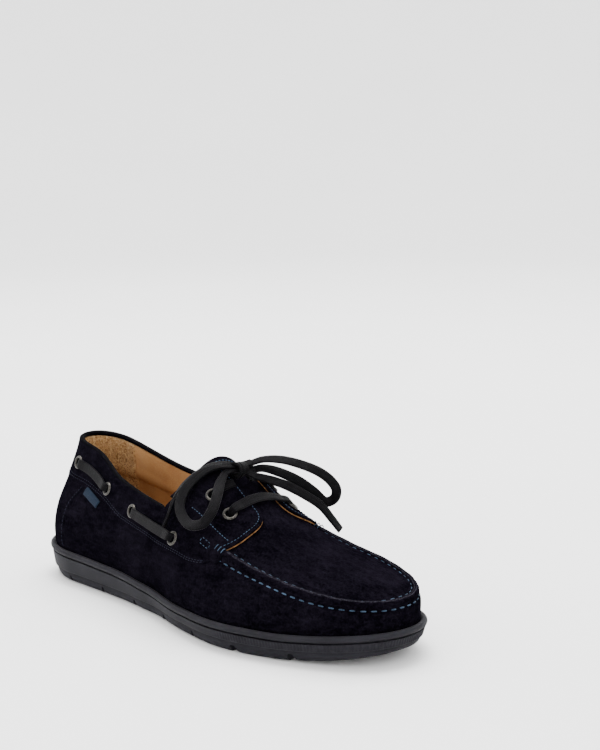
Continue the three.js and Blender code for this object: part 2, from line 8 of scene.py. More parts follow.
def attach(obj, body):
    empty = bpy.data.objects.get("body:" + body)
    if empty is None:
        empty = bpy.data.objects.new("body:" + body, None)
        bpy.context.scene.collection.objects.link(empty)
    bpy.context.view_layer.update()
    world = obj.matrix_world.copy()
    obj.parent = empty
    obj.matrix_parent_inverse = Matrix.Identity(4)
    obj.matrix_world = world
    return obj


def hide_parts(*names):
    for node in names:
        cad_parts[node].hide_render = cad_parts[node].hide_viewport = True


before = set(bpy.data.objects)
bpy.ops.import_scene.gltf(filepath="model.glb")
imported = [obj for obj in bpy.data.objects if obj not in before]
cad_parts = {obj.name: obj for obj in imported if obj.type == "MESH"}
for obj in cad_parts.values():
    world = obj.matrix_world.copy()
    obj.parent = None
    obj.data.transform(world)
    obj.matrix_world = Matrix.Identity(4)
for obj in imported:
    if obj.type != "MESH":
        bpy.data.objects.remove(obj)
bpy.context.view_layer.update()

# ------------------------------------------------------------------ camera
# Stands off the toe on the shoe's outer side, a little above it, and looks across the toe and throat.

CAMERA_AT = Vector((0.7196, -0.5964, 0.2852))
CAMERA_TURN = math.radians(47.4)
CAMERA_RISE = math.radians(8.6)
CAMERA_ROLL = math.radians(-0.8)
CAMERA_LENS, CAMERA_FAR = 78.92, 50
CAMERA_SHIFT = (0.0013, -0.0147)

backward = Vector((
    math.sin(CAMERA_TURN) * math.cos(CAMERA_RISE),
    -math.cos(CAMERA_TURN) * math.cos(CAMERA_RISE),
    math.sin(CAMERA_RISE),
))
level = Vector((math.cos(CAMERA_TURN), math.sin(CAMERA_TURN), 0))
upright = backward.cross(level)
sideways = math.cos(CAMERA_ROLL) * level + math.sin(CAMERA_ROLL) * upright
over = math.cos(CAMERA_ROLL) * upright - math.sin(CAMERA_ROLL) * level

camera_lens = bpy.data.cameras.new("camera")
camera_lens.lens = CAMERA_LENS
camera_lens.shift_x, camera_lens.shift_y = CAMERA_SHIFT
camera_lens.clip_end = CAMERA_FAR
camera = bpy.data.objects.new("camera", camera_lens)
camera.matrix_world = Matrix.Translation(CAMERA_AT) @ Matrix((sideways, over, backward)).transposed().to_4x4()
bpy.context.scene.collection.objects.link(camera)
bpy.context.scene.camera = camera

# ------------------------------------------------------------------ lace: bow
# Flat woven cotton lace, 6 mm wide. The loops and ends of the bow are free of the shoe. Each starts at
# the knot, the loops come back to it, and the ends hang over the flaps.

MM = 0.001
# The last's middle line lies this far from the row frame's, which runs through the middle of the sole.
ROW_SHIFT = 0.7
LACE_WIDE = 6.0
LACE_THICK = 1.3
# Turn of the ribs across the lace and of the weft along it, in radians a millimetre.
LACE_RIBS, LACE_WEFT = 9.0, 7.0
SHARP_EDGE = math.radians(48)


def new_finish(name, **sockets):
    """A material whose even values sit on the shader's own sockets."""
    material = bpy.data.materials.new(name)
    material.use_nodes = True
    shader = material.node_tree.nodes["Principled BSDF"]
    for socket, value in sockets.items():
        shader.inputs[socket.replace("_", " ")].default_value = value
    return material, material.node_tree, shader


def add_node(tree, kind, settings=None, **inputs):
    """A node with its settings, and each input, by name or as _ and its number, linked or given its value."""
    made = tree.nodes.new("ShaderNode" + kind)
    for name, value in (settings or {}).items():
        setattr(made, name, value)
    for name, value in inputs.items():
        key = int(name[1:]) if name[0] == "_" else name.replace("_", " ")
        if isinstance(value, bpy.types.NodeSocket):
            tree.links.new(value, made.inputs[key])
        else:
            made.inputs[key].default_value = value
    return made


def ramp(tree, fac, *stops):
    """Colours at places from 0 to 1."""
    made = add_node(tree, "ValToRGB", Fac=fac)
    elements = made.color_ramp.elements
    while len(elements) < len(stops):
        elements.new(0.5)
    for element, (place, colour) in zip(elements, stops):
        element.position = place
        element.color = (*colour, 1)
    return made.outputs["Color"]


def arithmetic(tree, operation, a, b):
    return add_node(tree, "Math", {"operation": operation}, _0=a, _1=b).outputs[0]


def bump(tree, shader, *layers):
    """Bumps one over another: height, strength and depth in metres."""
    normal = None
    for height, strength, depth in layers:
        made = add_node(tree, "Bump", Height=height, Strength=strength, Distance=depth)
        if normal is not None:
            tree.links.new(normal, made.inputs["Normal"])
        normal = made.outputs["Normal"]
    tree.links.new(normal, shader.inputs["Normal"])


def blend(tree, *shares):
    """The sum of several sockets, each by its own share."""
    total = None
    for socket, share in shares:
        part = socket if share == 1 else arithmetic(tree, "MULTIPLY", socket, share)
        total = part if total is None else arithmetic(tree, "ADD", total, part)
    return total


def lace_finish():
    """Fine lengthwise ribs crossed by the weft, near-black with a dull shine on the ribs."""
    material, tree, shader = new_finish(
        "lace_weave", Roughness=0.5, Sheen_Weight=0.003, Sheen_Roughness=0.4, Specular_IOR_Level=0.045
    )
    woven = add_node(tree, "Attribute", {"attribute_name": "weave"}).outputs["Vector"]
    split = add_node(tree, "SeparateXYZ", Vector=woven)
    across = arithmetic(tree, "SINE", arithmetic(tree, "MULTIPLY", split.outputs["X"], LACE_RIBS), 0)
    slant = arithmetic(tree, "ADD", split.outputs["Y"], arithmetic(tree, "ABSOLUTE", split.outputs["X"], 0))
    along = arithmetic(tree, "SINE", arithmetic(tree, "MULTIPLY", slant, LACE_WEFT), 0)
    threads = arithmetic(tree, "MULTIPLY", across, along)
    fuzz = add_node(tree, "TexNoise", Vector=woven, Scale=1.4, Detail=4).outputs["Fac"]
    colour = ramp(tree, fuzz, (0.30, (0.0008, 0.0007, 0.0011)), (0.70, (0.0036, 0.0033, 0.0043)))
    tree.links.new(colour, shader.inputs["Base Color"])
    bump(tree, shader, (blend(tree, (across, 1), (threads, 0.8), (fuzz, 1)), 0.8, 0.00022))
    return material


lace_weave = lace_finish()


def to_row(points):
    """Millimetres of the last's own frame to metres of the row frame, whose middle is the sole box's."""
    moved = np.asarray(points, float).reshape(-1, 3) + (0, ROW_SHIFT, 0)
    return (moved * MM).tolist()


def outward(points, faces):
    """The faces, turned so that a closed mesh holds a positive volume."""
    points = np.asarray(points, float).reshape(-1, 3)
    thirds = np.array([(face[0], b, c) for face in faces for b, c in zip(face[1:-1], face[2:])])
    first, second, third = (points[thirds[:, k]] for k in range(3))
    volume = np.einsum("ij,ij->", first, np.cross(second, third))
    return faces if volume > 0 else [list(reversed(face)) for face in faces]


def make_piece(name, points, faces, finish, slot, *stands_for, sharp=SHARP_EDGE):
    """A smooth-shaded closed mesh on the shoe, in place of the CAD nodes that it stands for."""
    mesh = bpy.data.meshes.new(name)
    mesh.from_pydata(to_row(points), [], faces)
    mesh.materials.append(finish)
    mesh.shade_smooth()
    mesh.set_sharp_from_angle(angle=sharp)
    piece = bpy.data.objects.new(name, mesh)
    bpy.context.scene.collection.objects.link(piece)
    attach(piece, "root")
    if stands_for:
        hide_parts(*stands_for)
    return piece


def tube_faces(rings, count):
    """Quads of a stack of rings of count points each, and a face over each end."""
    rows = np.arange(rings * count).reshape(rings, count)
    turned = np.roll(rows, -1, axis=1)
    sides = np.stack([rows[:-1], turned[:-1], turned[1:], rows[1:]], -1).reshape(-1, 4).tolist()
    return sides + [rows[0, ::-1].tolist(), rows[-1].tolist()]


def joined(parts):
    """The points and the faces of several parts together."""
    points, faces, start = [], [], 0
    for solid, sides in parts:
        faces += [[k + start for k in face] for face in sides]
        points.append(solid)
        start += len(solid)
    return np.vstack(points), faces


def unit(vectors):
    return vectors / np.linalg.norm(vectors, axis=-1, keepdims=True)


def run_along(points):
    """Distance along a polyline at each of its points."""
    return np.concatenate([[0], np.cumsum(np.linalg.norm(np.diff(points, axis=0), axis=1))])


def evenly(points, step):
    """Points at even steps along a polyline, and where each lies as a share of its length."""
    run = run_along(points)
    count = max(int(round(run[-1] / step)), 2)
    at = np.linspace(0, run[-1], count + 1)
    return np.stack([np.interp(at, run, points[:, k]) for k in range(3)], -1), at / run[-1]


def through(points, step=0.8, fine=24):
    """A centripetal Catmull-Rom curve through the points, at even steps."""
    points = np.asarray(points, float)
    padded = np.vstack([2 * points[0] - points[1], points, 2 * points[-1] - points[-2]])
    dense = []
    for i in range(1, len(padded) - 2):
        p0, p1, p2, p3 = padded[i - 1 : i + 3]
        gaps = [max(np.linalg.norm(b - a) ** 0.5, 1e-6) for a, b in ((p0, p1), (p1, p2), (p2, p3))]
        start = (p1 - p0) / gaps[0] - (p2 - p0) / (gaps[0] + gaps[1]) + (p2 - p1) / gaps[1]
        end = (p2 - p1) / gaps[1] - (p3 - p1) / (gaps[1] + gaps[2]) + (p3 - p2) / gaps[2]
        t = np.linspace(0, 1, fine, endpoint=False)[:, None]
        rise = gaps[1] * (start * t * (1 - t) ** 2 + end * t * t * (t - 1))
        dense.append(p1 + (p2 - p1) * t * t * (3 - 2 * t) + rise)
    return evenly(np.vstack([*dense, padded[-2]]), step)[0]


# Half section of the lace from its middle out: share of the half width and of the half thickness.
LACE_SECTION = ((0.0, 0.86), (0.3, 1.0), (0.62, 0.94), (0.86, 0.98), (0.97, 0.6))


def ribbon(points, facing, pinch=((0, 1), (1, 1)), cup=0.0):
    """Points, faces and weave places of a flat lace along a line, whose face looks towards facing."""
    run = run_along(points)
    share = run / run[-1]
    places = [row[0] for row in facing]
    look = np.stack([np.interp(share, places, [row[1][k] for row in facing]) for k in range(3)], -1)
    tangent = unit(np.gradient(points, axis=0))
    wide = unit(np.cross(tangent, look))
    face = np.cross(wide, tangent)
    narrow = np.interp(share, [row[0] for row in pinch], [row[1] for row in pinch])
    half = [(-a, b) for a, b in LACE_SECTION[:0:-1]] + list(LACE_SECTION)
    section = half + [(a, -b) for a, b in reversed(half)]
    rings, weave = [], []
    for a, b in section:
        out = a * LACE_WIDE / 2 * narrow
        rise = b * LACE_THICK / 2 * (2 - narrow) - cup * a * a
        rings.append(points + wide * out[:, None] + face * rise[:, None])
        weave.append(np.stack([np.full_like(run, a * LACE_WIDE / 2), run, np.full_like(run, b)], -1))
    solid = np.stack(rings, 1).reshape(-1, 3)
    return solid, tube_faces(len(points), len(section)), np.stack(weave, 1).reshape(-1, 3)


def lace_piece(name, parts, *stands_for):
    """One piece of lace from its ribbons, with the weave's places on its points."""
    points, faces = joined([(solid, outward(solid, sides)) for solid, sides, _ in parts])
    piece = make_piece(name, points, faces, lace_weave, "lace_flat", *stands_for)
    stored = piece.data.attributes.new("weave", "FLOAT_VECTOR", "POINT")
    stored.data.foreach_set("vector", np.vstack([places for _, _, places in parts]).ravel())
    return piece


BOW_ROUTES = {
    "lace_loop_left": [
        [18.0, -11.7, 89.4], [13, -17.6, 88], [9.4, -25, 83.4], [9.4, -33.3, 77], [13.5, -40, 70.4],
        [22, -44.2, 65.4], [32, -46.2, 63.6], [39.6, -44.4, 66], [40.6, -39.3, 71.6], [35.4, -31, 78],
        [27.2, -21.6, 82.8], [21.4, -13.4, 85.8],
    ],
    "lace_loop_right": [
        [25.2, 3.4, 90.0], [28.5, 9, 91.6], [33.5, 18, 91], [39.5, 28, 87.6], [45.6, 38, 82],
        [49, 43.6, 76.4], [50, 46.6, 71], [48.2, 46.6, 65.6], [44.5, 43.4, 63.4], [41, 37, 70],
        [37.4, 29, 77], [32.8, 18, 83.4], [28.9, 9, 86.6], [26.6, 3.8, 86.4],
    ],
    "lace_end_right": [
        [30.2, 1.2, 83.6], [33.3, 8, 81.2], [37.2, 18, 76.8], [42.8, 29, 69.6], [47.3, 37, 62.8],
        [50.8, 42, 55], [54, 46, 48],
    ],
    "lace_end_left": [
        [15.8, -6.6, 89.6], [10.5, -13, 89], [5, -20.5, 84.5], [2, -29, 78], [3, -36.5, 71.5],
        [5, -41.5, 64.5], [4, -44.5, 57.5],
    ],
}
# A loop comes back to the knot, and an end hangs bare.
BOW_FAR_END = {name: "object" if "loop" in name else "bare" for name in BOW_ROUTES}
# Which way the lace's face looks, at shares of its length.
BOW_FACING = {
    "lace_loop_left": [
        (0, (0.2, -0.3, 1)), (0.3, (0.55, -0.7, 0.55)), (0.55, (0.6, -0.6, 0.5)), (1, (0.5, -0.6, 0.7)),
    ],
    "lace_loop_right": [
        (0, (0.3, -0.3, 1)), (0.35, (0.7, -0.5, 0.6)), (0.6, (0.7, -0.6, 0.3)), (1, (0.6, -0.5, 0.8)),
    ],
    "lace_end_right": [(0, (0.5, -0.5, 0.7)), (0.6, (0.7, -0.3, 0.6)), (1, (0.9, 0.3, 0.2))],
    "lace_end_left": [(0, (0.2, -0.2, 1)), (0.6, (-0.4, -0.8, 0.4)), (1, (-0.8, -0.5, 0.1))],
}
# How wide the lace is at shares of its length: drawn in where the knot grips it.
BOW_SQUEEZE = {
    "object": ((0, 0.72), (0.12, 1), (0.88, 1), (1, 0.72)), "bare": ((0, 0.75), (0.2, 1), (1, 0.94)),
}
BOW_CUP = 0.35

# ------------------------------------------------------------------ lace: knot
# The bow's knot: one turn of lace wrapped round the folded laces, and the loops and ends that leave it.
# Each loop and end is its own piece of lace.

KNOT_MIDDLE = np.array([24.3, -5.2, 87.0])
KNOT_FROM, KNOT_TO, KNOT_STEPS = -0.2, 1.25, 60
KNOT_LONG, KNOT_TALL, KNOT_PITCH, KNOT_SKEW = 4.7, 3.9, 1.6, 0.5
KNOT_SQUEEZE = ((0, 0.9), (0.5, 1.0), (1, 0.85))
# The laces inside the turn, each from a loop or end on one side to one on the other, from its middle.
KNOT_CORES = (
    [[-6.6, -6.9, 2.4], [-2.4, -2.6, 2.3], [0.2, 3.0, 2.7], [0.8, 9.0, 3.1]],
    [[-3.1, -8.6, -1.2], [-0.8, -3.0, 0.2], [1.2, 3.0, -0.2], [2.4, 9.4, -0.6]],
    [[-9.0, -1.7, 2.6], [-4.0, -1.0, 1.4], [2.5, 2.6, -1.2], [6.2, 6.9, -3.5]],
)
CORE_FACING = [(0, (0.3, -0.3, 1)), (1, (0.5, -0.4, 0.8))]
CORE_SQUEEZE = ((0, 0.8), (0.5, 0.62), (1, 0.8))


def knot_parts():
    """The wrapping turn, and the folded laces inside it."""
    turn = np.linspace(KNOT_FROM, KNOT_TO, KNOT_STEPS) * 2 * math.pi
    wrap = KNOT_MIDDLE + np.stack([
        KNOT_LONG * np.cos(turn) + KNOT_SKEW * np.sin(2 * turn),
        KNOT_PITCH * (turn / (2 * math.pi) - 0.5),
        KNOT_TALL * np.sin(turn),
    ], -1)
    outside = [(s, (math.cos(t), 0.15, math.sin(t))) for s, t in zip(np.linspace(0, 1, KNOT_STEPS), turn)]
    cores = [through(KNOT_MIDDLE + np.array(core)) for core in KNOT_CORES]
    return [ribbon(wrap, outside, KNOT_SQUEEZE)] + [ribbon(line, CORE_FACING, CORE_SQUEEZE) for line in cores]


bow_knot = lace_piece("bow_knot", knot_parts(), "lace_knot")

for name, route in BOW_ROUTES.items():
    line = through(route)
    bow_ribbon = ribbon(line, BOW_FACING[name], BOW_SQUEEZE[BOW_FAR_END[name]], cup=BOW_CUP)
    bow_piece = lace_piece(name.replace("lace", "bow"), [bow_ribbon], name)
    to_row(line[0])[0]
    to_row(line)

# ------------------------------------------------------------------ outsole
# Cup sole moulded in one charcoal rubber: a rounded lip over a thin groove, a band with fine upright
# ribs round the forefoot, an undercut lower band, and channels cut across the tread.

SOLE_LENGTH = 300.0
HEEL_X, TOE_X = -SOLE_LENGTH / 2, SOLE_LENGTH / 2
HEEL_ROUND, TOE_ROUND, END_POWER = 48.0, 87.0, 2.1
TOE_SPRING, SPRING_START = 7.0, 75.0
CUP_INSET, CUP_DEPTH = 3.6, 6.0
RIB_START, RIB_PITCH, RIB_DEPTH = 58.0, 1.9, 0.75
# The ribbed band: its lower edge over the ground and how far that falls at the toe, its upper edge under
# the groove, how far along the sole it fades in, and the inset past which no rib stands.
RIB_LOW, RIB_FALL, RIB_TOP, RIB_FADE, RIB_LIMIT = 7.4, 2.6, 0.7, 6.0, 3.5
GROOVE_DROP = 4.0
CHANNEL_FIRST, CHANNEL_PITCH, CHANNEL_DEPTH, CHANNEL_HALF_LONG = -107.0, 35.0, 4.4, 75
CHANNEL_WIDTHS = (2.6, 2.6, 2.6, 2.6, 2.6, 4.2, 4.2)

OUTLINE = {
    "x": (-150, -105, -60, -20, 20, 55, 90, 120, 150),
    "half": (36.5, 36.5, 36.5, 39.0, 49.0, 54.5, 51.0, 49.0, 50.0),
    "centre": (0.0, 0.0, -1.5, -3.3, -2.3, -0.7, 0.6, 1.6, 2.8),
}
LIP = {"x": (-150, -60, 20, 90, 150), "z": (21.6, 19.8, 16.2, 16.2, 20.3)}


def column_curve(table, column):
    """Monotone cubic through one column of a table, over its x column."""
    xs, ys = np.array(table["x"], float), np.array(table[column], float)
    steps = np.diff(xs)
    rises = np.diff(ys) / steps
    slopes = np.zeros_like(ys)
    slopes[0], slopes[-1] = rises[0], rises[-1]
    for i in range(1, len(ys) - 1):
        if rises[i - 1] * rises[i] > 0:
            before, after = 2 * steps[i] + steps[i - 1], steps[i] + 2 * steps[i - 1]
            slopes[i] = (before + after) / (before / rises[i - 1] + after / rises[i])

    def at(x):
        x = np.clip(x, xs[0], xs[-1])
        i = np.clip(np.searchsorted(xs, x, side="right") - 1, 0, len(steps) - 1)
        t = (x - xs[i]) / steps[i]
        rise = t * (1 - t) ** 2 * slopes[i] + t * t * (t - 1) * slopes[i + 1]
        return ys[i] + (ys[i + 1] - ys[i]) * t * t * (3 - 2 * t) + rise * steps[i]

    return at


outline_half = column_curve(OUTLINE, "half")
centre_line = column_curve(OUTLINE, "centre")
lip_top = column_curve(LIP, "z")


def end_round(x, start, end, start_length, end_length, power):
    """1 along the sides, falling to 0 at both ends in superellipse quarters."""
    from_start = np.clip((start + start_length - x) / start_length, 0, 1)
    from_end = np.clip((x - end + end_length) / end_length, 0, 1)
    return (1 - from_start**power) ** (1 / power) * (1 - from_end**power) ** (1 / power)


def loop_place(u, start, end):
    """u runs 0 to 1 from heel to toe along the outer side and 1 to 2 back along the inner side."""
    turn = np.mod(u, 2)
    share = np.where(turn < 1, turn, 2 - turn)
    return start + (end - start) * (1 - np.cos(math.pi * share)) / 2, np.where(turn < 1, -1.0, 1.0)


def outline_point(u):
    x, side = loop_place(u, HEEL_X, TOE_X)
    half = outline_half(x) * end_round(x, HEEL_X, TOE_X, HEEL_ROUND, TOE_ROUND, END_POWER)
    return np.stack([x, centre_line(x) + side * half], -1)


def inward_normal(u):
    ahead = unit(outline_point(u + 0.001) - outline_point(u - 0.001))
    return np.stack([-ahead[..., 1], ahead[..., 0]], -1)


def inset_point(u, inset, z):
    flat = outline_point(u) + inward_normal(u) * np.asarray(inset)[..., None]
    return np.concatenate([flat, np.broadcast_to(z, flat.shape[:-1])[..., None]], -1)


def sole_bottom(x):
    return np.where(x > SPRING_START, TOE_SPRING * ((x - SPRING_START) / (TOE_X - SPRING_START)) ** 2, 0)


def sole_profile(x):
    """Corners of the side profile from the ground up: inset from the lip's edge, height, and roundness."""
    bottom, top = sole_bottom(x), lip_top(x)
    spring, groove = bottom / TOE_SPRING, top - GROOVE_DROP
    bevel, crease = bottom + 4.0 - 1.2 * spring, bottom + 6.5 - 2.4 * spring
    return [
        (22.0, bottom, 0.3), (7.6, bottom, 0.1), (5.4, bottom + 1.0, 0.38), (4.0, bevel, 0.38),
        (4.4, crease, 0.12), (2.5, bottom + 7.0 - 2.5 * spring, 0.15), (1.1, groove - 0.6, 0.1),
        (2.9, groove - 0.4, 0.1), (2.9, groove + 0.3, 0.1), (0.5, groove + 0.6, 0.2), (0.0, top - 1.9, 0.4),
        (0.6, top - 0.4, 0.4), (2.0, top, 0.4), (CUP_INSET, top - 0.7, 0.3),
        (CUP_INSET, top - CUP_DEPTH, 0.2), (14.0, top - CUP_DEPTH, 0.3),
    ]


def filleted(corners, steps=3):
    """The profile with each corner rounded into the sides next to it, by its own share of them."""
    rows = [corners[0][:2]]
    for before, corner, after in zip(corners, corners[1:], corners[2:]):
        reach = corner[2]
        near = [corner[k] + (before[k] - corner[k]) * reach for k in (0, 1)]
        far = [corner[k] + (after[k] - corner[k]) * reach for k in (0, 1)]
        for t in np.linspace(0, 1, steps + 1):
            first, middle, last = (1 - t) ** 2, 2 * t * (1 - t), t * t
            rows.append([near[k] * first + corner[k] * middle + far[k] * last for k in (0, 1)])
    return rows + [corners[-1][:2]]


def sole_stations():
    """Places round the sole, four to a rib where the ribs are."""
    dense = np.linspace(0, 2, 8001)
    points = outline_point(dense)
    run = run_along(points)
    weight = np.where(points[1:, 0] > RIB_START, 4 / RIB_PITCH, 1 / 2.2) * np.diff(run)
    count = np.concatenate([[0], np.cumsum(weight)])
    at = np.linspace(0, count[-1], int(count[-1]) + 1)[:-1]
    return np.interp(at, count, dense), np.interp(at, count, run)


def capped(loops):
    """Points and faces of a stack of loops, closed over each end by rungs from side to side."""
    count, top = len(loops[0]), (len(loops) - 1) * len(loops[0])
    rungs = [[0, 1, count - 1]] + [[i, i + 1, count - i - 1, count - i] for i in range(1, (count - 1) // 2)]
    if count % 2 == 0:
        rungs.append([count // 2 - 1, count // 2, count // 2 + 1])
    faces = tube_faces(len(loops), count)[:-2]
    faces += [rung[::-1] for rung in rungs] + [[k + top for k in rung] for rung in rungs]
    points = np.vstack(loops)
    return points, outward(points, faces)


TEXTURE_VALUE = {"Noise": "Fac", "Voronoi": "Distance"}


def textured_finish(name, textures, shares, stops, bumps=(), rough=None, **sockets):
    """A material from textures over the piece: each one's share in the colour, and how it bumps.

    A texture is its kind, its inputs and, where it is brushed, the turn and stretch that it has first."""
    material, tree, shader = new_finish(name, **sockets)
    place = add_node(tree, "TexCoord").outputs["Object"]
    made = {}
    for label, (kind, inputs, *brushed) in textures.items():
        vector = add_node(tree, "Mapping", Vector=place, **brushed[0]).outputs["Vector"] if brushed else place
        made[label] = add_node(tree, "Tex" + kind, Vector=vector, **inputs).outputs[TEXTURE_VALUE[kind]]
    tone = blend(tree, *[(made[label], share) for label, share in shares.items()])
    tree.links.new(ramp(tree, tone, *stops), shader.inputs["Base Color"])
    if rough:
        label, low, high = rough
        spread = add_node(tree, "MapRange", Value=made[label], _3=low, _4=high)
        tree.links.new(spread.outputs["Result"], shader.inputs["Roughness"])
    if bumps:
        bump(tree, shader, *[(made[label], strength, depth) for label, strength, depth in bumps])
    return material


# Charcoal rubber, matt, with a moulded grain and the dust that collects on it.
sole_rubber = textured_finish(
    "sole_rubber",
    {"grain": ("Noise", {"Scale": 2600, "Detail": 3}), "clouds": ("Noise", {"Scale": 70, "Detail": 5})},
    {"clouds": 0.75, "grain": 0.25},
    ((0.35, (0.0056, 0.0053, 0.0074)), (0.65, (0.0098, 0.0094, 0.0126))),
    (("grain", 0.35, 0.00012), ("clouds", 0.15, 0.0006)),
    Roughness=0.7, Specular_IOR_Level=0.12,
)


def channel_cutters():
    """Bars across the tread, one for each channel, wider at the mouth than at the root."""
    parts = []
    for i, width in enumerate(CHANNEL_WIDTHS):
        x = CHANNEL_FIRST + CHANNEL_PITCH * i
        root = CHANNEL_DEPTH + float(sole_bottom(np.array(x)))
        half = [(0.85 * width, -3), (0.62 * width, root * 0.3), (0.3 * width, root)]
        section = [(-half[0][0], half[0][1])] + half + [(-a, z) for a, z in half[:0:-1]]
        points = [(x + a, y, z) for y in (-CHANNEL_HALF_LONG, CHANNEL_HALF_LONG) for a, z in section]
        parts.append((points, outward(points, tube_faces(2, len(section)))))
    return joined(parts)


def cut_channels(sole):
    mesh = bpy.data.meshes.new("channel_cutters")
    points, faces = channel_cutters()
    mesh.from_pydata(to_row(points), [], faces)
    cutter = bpy.data.objects.new("channel_cutters", mesh)
    bpy.context.scene.collection.objects.link(cutter)
    cut = sole.modifiers.new("channels", "BOOLEAN")
    cut.object = cutter
    cut.solver = "EXACT"
    made = bpy.data.meshes.new_from_object(sole.evaluated_get(bpy.context.evaluated_depsgraph_get()))
    sole.modifiers.clear()
    sole.data = made
    made.set_sharp_from_angle(angle=SHARP_EDGE)
    bpy.data.objects.remove(cutter)


def make_outsole():
    stations, run = sole_stations()
    x = outline_point(stations)[:, 0]
    corners = [(np.full_like(x, inset), height, reach) for inset, height, reach in sole_profile(x)]
    rib = RIB_DEPTH * (0.5 + 0.5 * np.cos(run * 2 * math.pi / RIB_PITCH))
    rib = rib * np.clip((x - RIB_START) / RIB_FADE, 0, 1)
    low = sole_bottom(x) + RIB_LOW - RIB_FALL * sole_bottom(x) / TOE_SPRING
    high = lip_top(x) - GROOVE_DROP - RIB_TOP
    loops = []
    for inset, height in filleted(corners):
        band = np.clip((height - low) / 0.5, 0, 1) * np.clip((high - height) / 0.4, 0, 1)
        loops.append(inset_point(stations, inset + rib * band * (inset < RIB_LIMIT), height))
    cut_channels(make_piece("outsole_moulded", *capped(loops), sole_rubber, "sole_rubber", "outsole"))


make_outsole()

# ------------------------------------------------------------------ insole
# Tan leather sock over a thin foam, laid in the cup, its edge rounded down to the cup's floor and its
# middle a little dished.

SUEDE, GAP, INSOLE_THICK, INSOLE_EDGE, INSOLE_DISH = 2.0, 0.3, 4.0, 1.4, 1.1
INSOLE_INSET = CUP_INSET + GAP + SUEDE + GAP

# Full-grain tan leather with fine pores and a soft mottle.
tan_leather = textured_finish(
    "tan_leather",
    {
        "clouds": ("Noise", {"Scale": 38, "Detail": 5, "Distortion": 0.3}),
        "pores": ("Voronoi", {"Scale": 1300}),
    },
    {"clouds": 0.85, "pores": 0.2},
    ((0.3, (0.24, 0.110, 0.040)), (0.55, (0.32, 0.165, 0.065)), (0.8, (0.39, 0.215, 0.092))),
    (("pores", 0.3, 0.00015), ("clouds", 0.25, 0.001)),
    Roughness=0.6, Specular_IOR_Level=0.15,
)


def make_insole():
    stations = np.linspace(0, 2, 361)[:-1]
    x = outline_point(stations)[:, 0]
    under = lip_top(x) - CUP_DEPTH + GAP
    top = under + INSOLE_THICK
    rings = [(INSOLE_INSET, under)]
    for turn in np.linspace(0, math.pi / 2, 5):
        inset = INSOLE_INSET + INSOLE_EDGE * (1 - math.cos(turn))
        rings.append((inset, top - INSOLE_EDGE + INSOLE_EDGE * math.sin(turn)))
    rings += [(inset, top - INSOLE_DISH * (inset - 7.6) / 20) for inset in (11, 16, 22, 28)]
    loops = [inset_point(stations, np.full_like(x, inset), height) for inset, height in rings]
    make_piece("insole_sock", *capped(loops), tan_leather, "tan_leather", "insole")


make_insole()

# ------------------------------------------------------------------ upper: quarters
# Navy suede side wall in one piece from heel to toe, lasted over the insole's edge and glued into the
# cup. Its top edge is the collar behind and the moccasin seam in front.

TOP_LINE = {
    "x": (-126.5, -98.0, -60.0, -11.0, 15.0, 45.0, 70.0, 100.0, 130.0, 143.5),
    "half": (15.5, 16.5, 24.5, 30.0, 32.3, 35.5, 36.4, 36.4, 36.4, 36.4),
    "z": (88.0, 83.0, 71.5, 64.4, 60.5, 50.0, 44.0, 39.3, 35.2, 33.8),
    "lean": (14, 10, 12, 22, 38, 48, 50, 46, 36, 28),
}
COLLAR_ROUND, SEAM_ROUND, TOP_POWER = 22.0, 60.0, 2.2
TOP_START, TOP_END = TOP_LINE["x"][0], TOP_LINE["x"][-1]
WALL_FLARE, WALL_FULLNESS = math.radians(6), 0.42
SUEDE_OUTER = 1.2

# Row of bold stitches round the wall under the moccasin seam, as a share of the wall's height.
WALL_STITCH = {"x": (30, 50, 83, 118, 143), "v": (0.87, 0.87, 0.86, 0.80, 0.78)}

top_half = column_curve(TOP_LINE, "half")
top_height = column_curve(TOP_LINE, "z")
top_lean = column_curve(TOP_LINE, "lean")
wall_stitch = column_curve(WALL_STITCH, "v")


def top_half_at(x):
    return top_half(x) * end_round(x, TOP_START, TOP_END, COLLAR_ROUND, SEAM_ROUND, TOP_POWER)


def top_point(u):
    x, side = loop_place(u, TOP_START, TOP_END)
    return np.stack([x, centre_line(x) + side * top_half_at(x), top_height(x)], -1)


def wall_point(u, v):
    """Outside of the wall: v is 0 at the sole lip and 1 at the top line."""
    u, v = np.broadcast_arrays(np.asarray(u, float), np.asarray(v, float))
    foot = inset_point(u, np.full_like(u, CUP_INSET + GAP), lip_top(outline_point(u)[..., 0]))
    top = top_point(u)
    inward = inward_normal(u)
    reach = (WALL_FULLNESS * (top[..., 2] - foot[..., 2]))[..., None]
    lean = np.radians(top_lean(top[..., 0]))[..., None]
    rise = np.full_like(u, math.cos(WALL_FLARE))[..., None]
    out = np.concatenate([-inward * math.sin(WALL_FLARE), rise], -1)
    over_edge = np.concatenate([inward * np.sin(lean), np.cos(lean)], -1)
    low, high = foot + out * reach, top - over_edge * reach
    v = v[..., None]
    return foot * (1 - v) ** 3 + 3 * low * v * (1 - v) ** 2 + 3 * high * v * v * (1 - v) + top * v**3


def surface_normal(surface, a, b, step):
    across = surface(a + step, b) - surface(a - step, b)
    along = surface(a, np.minimum(b + step, 1)) - surface(a, np.maximum(b - step, -1))
    return unit(np.cross(across, along))


def wall_normal(u, v):
    return surface_normal(wall_point, u, np.clip(v, 0.01, 0.99), 0.005)


def trough(distance, width):
    return np.exp(-((distance / width) ** 2))


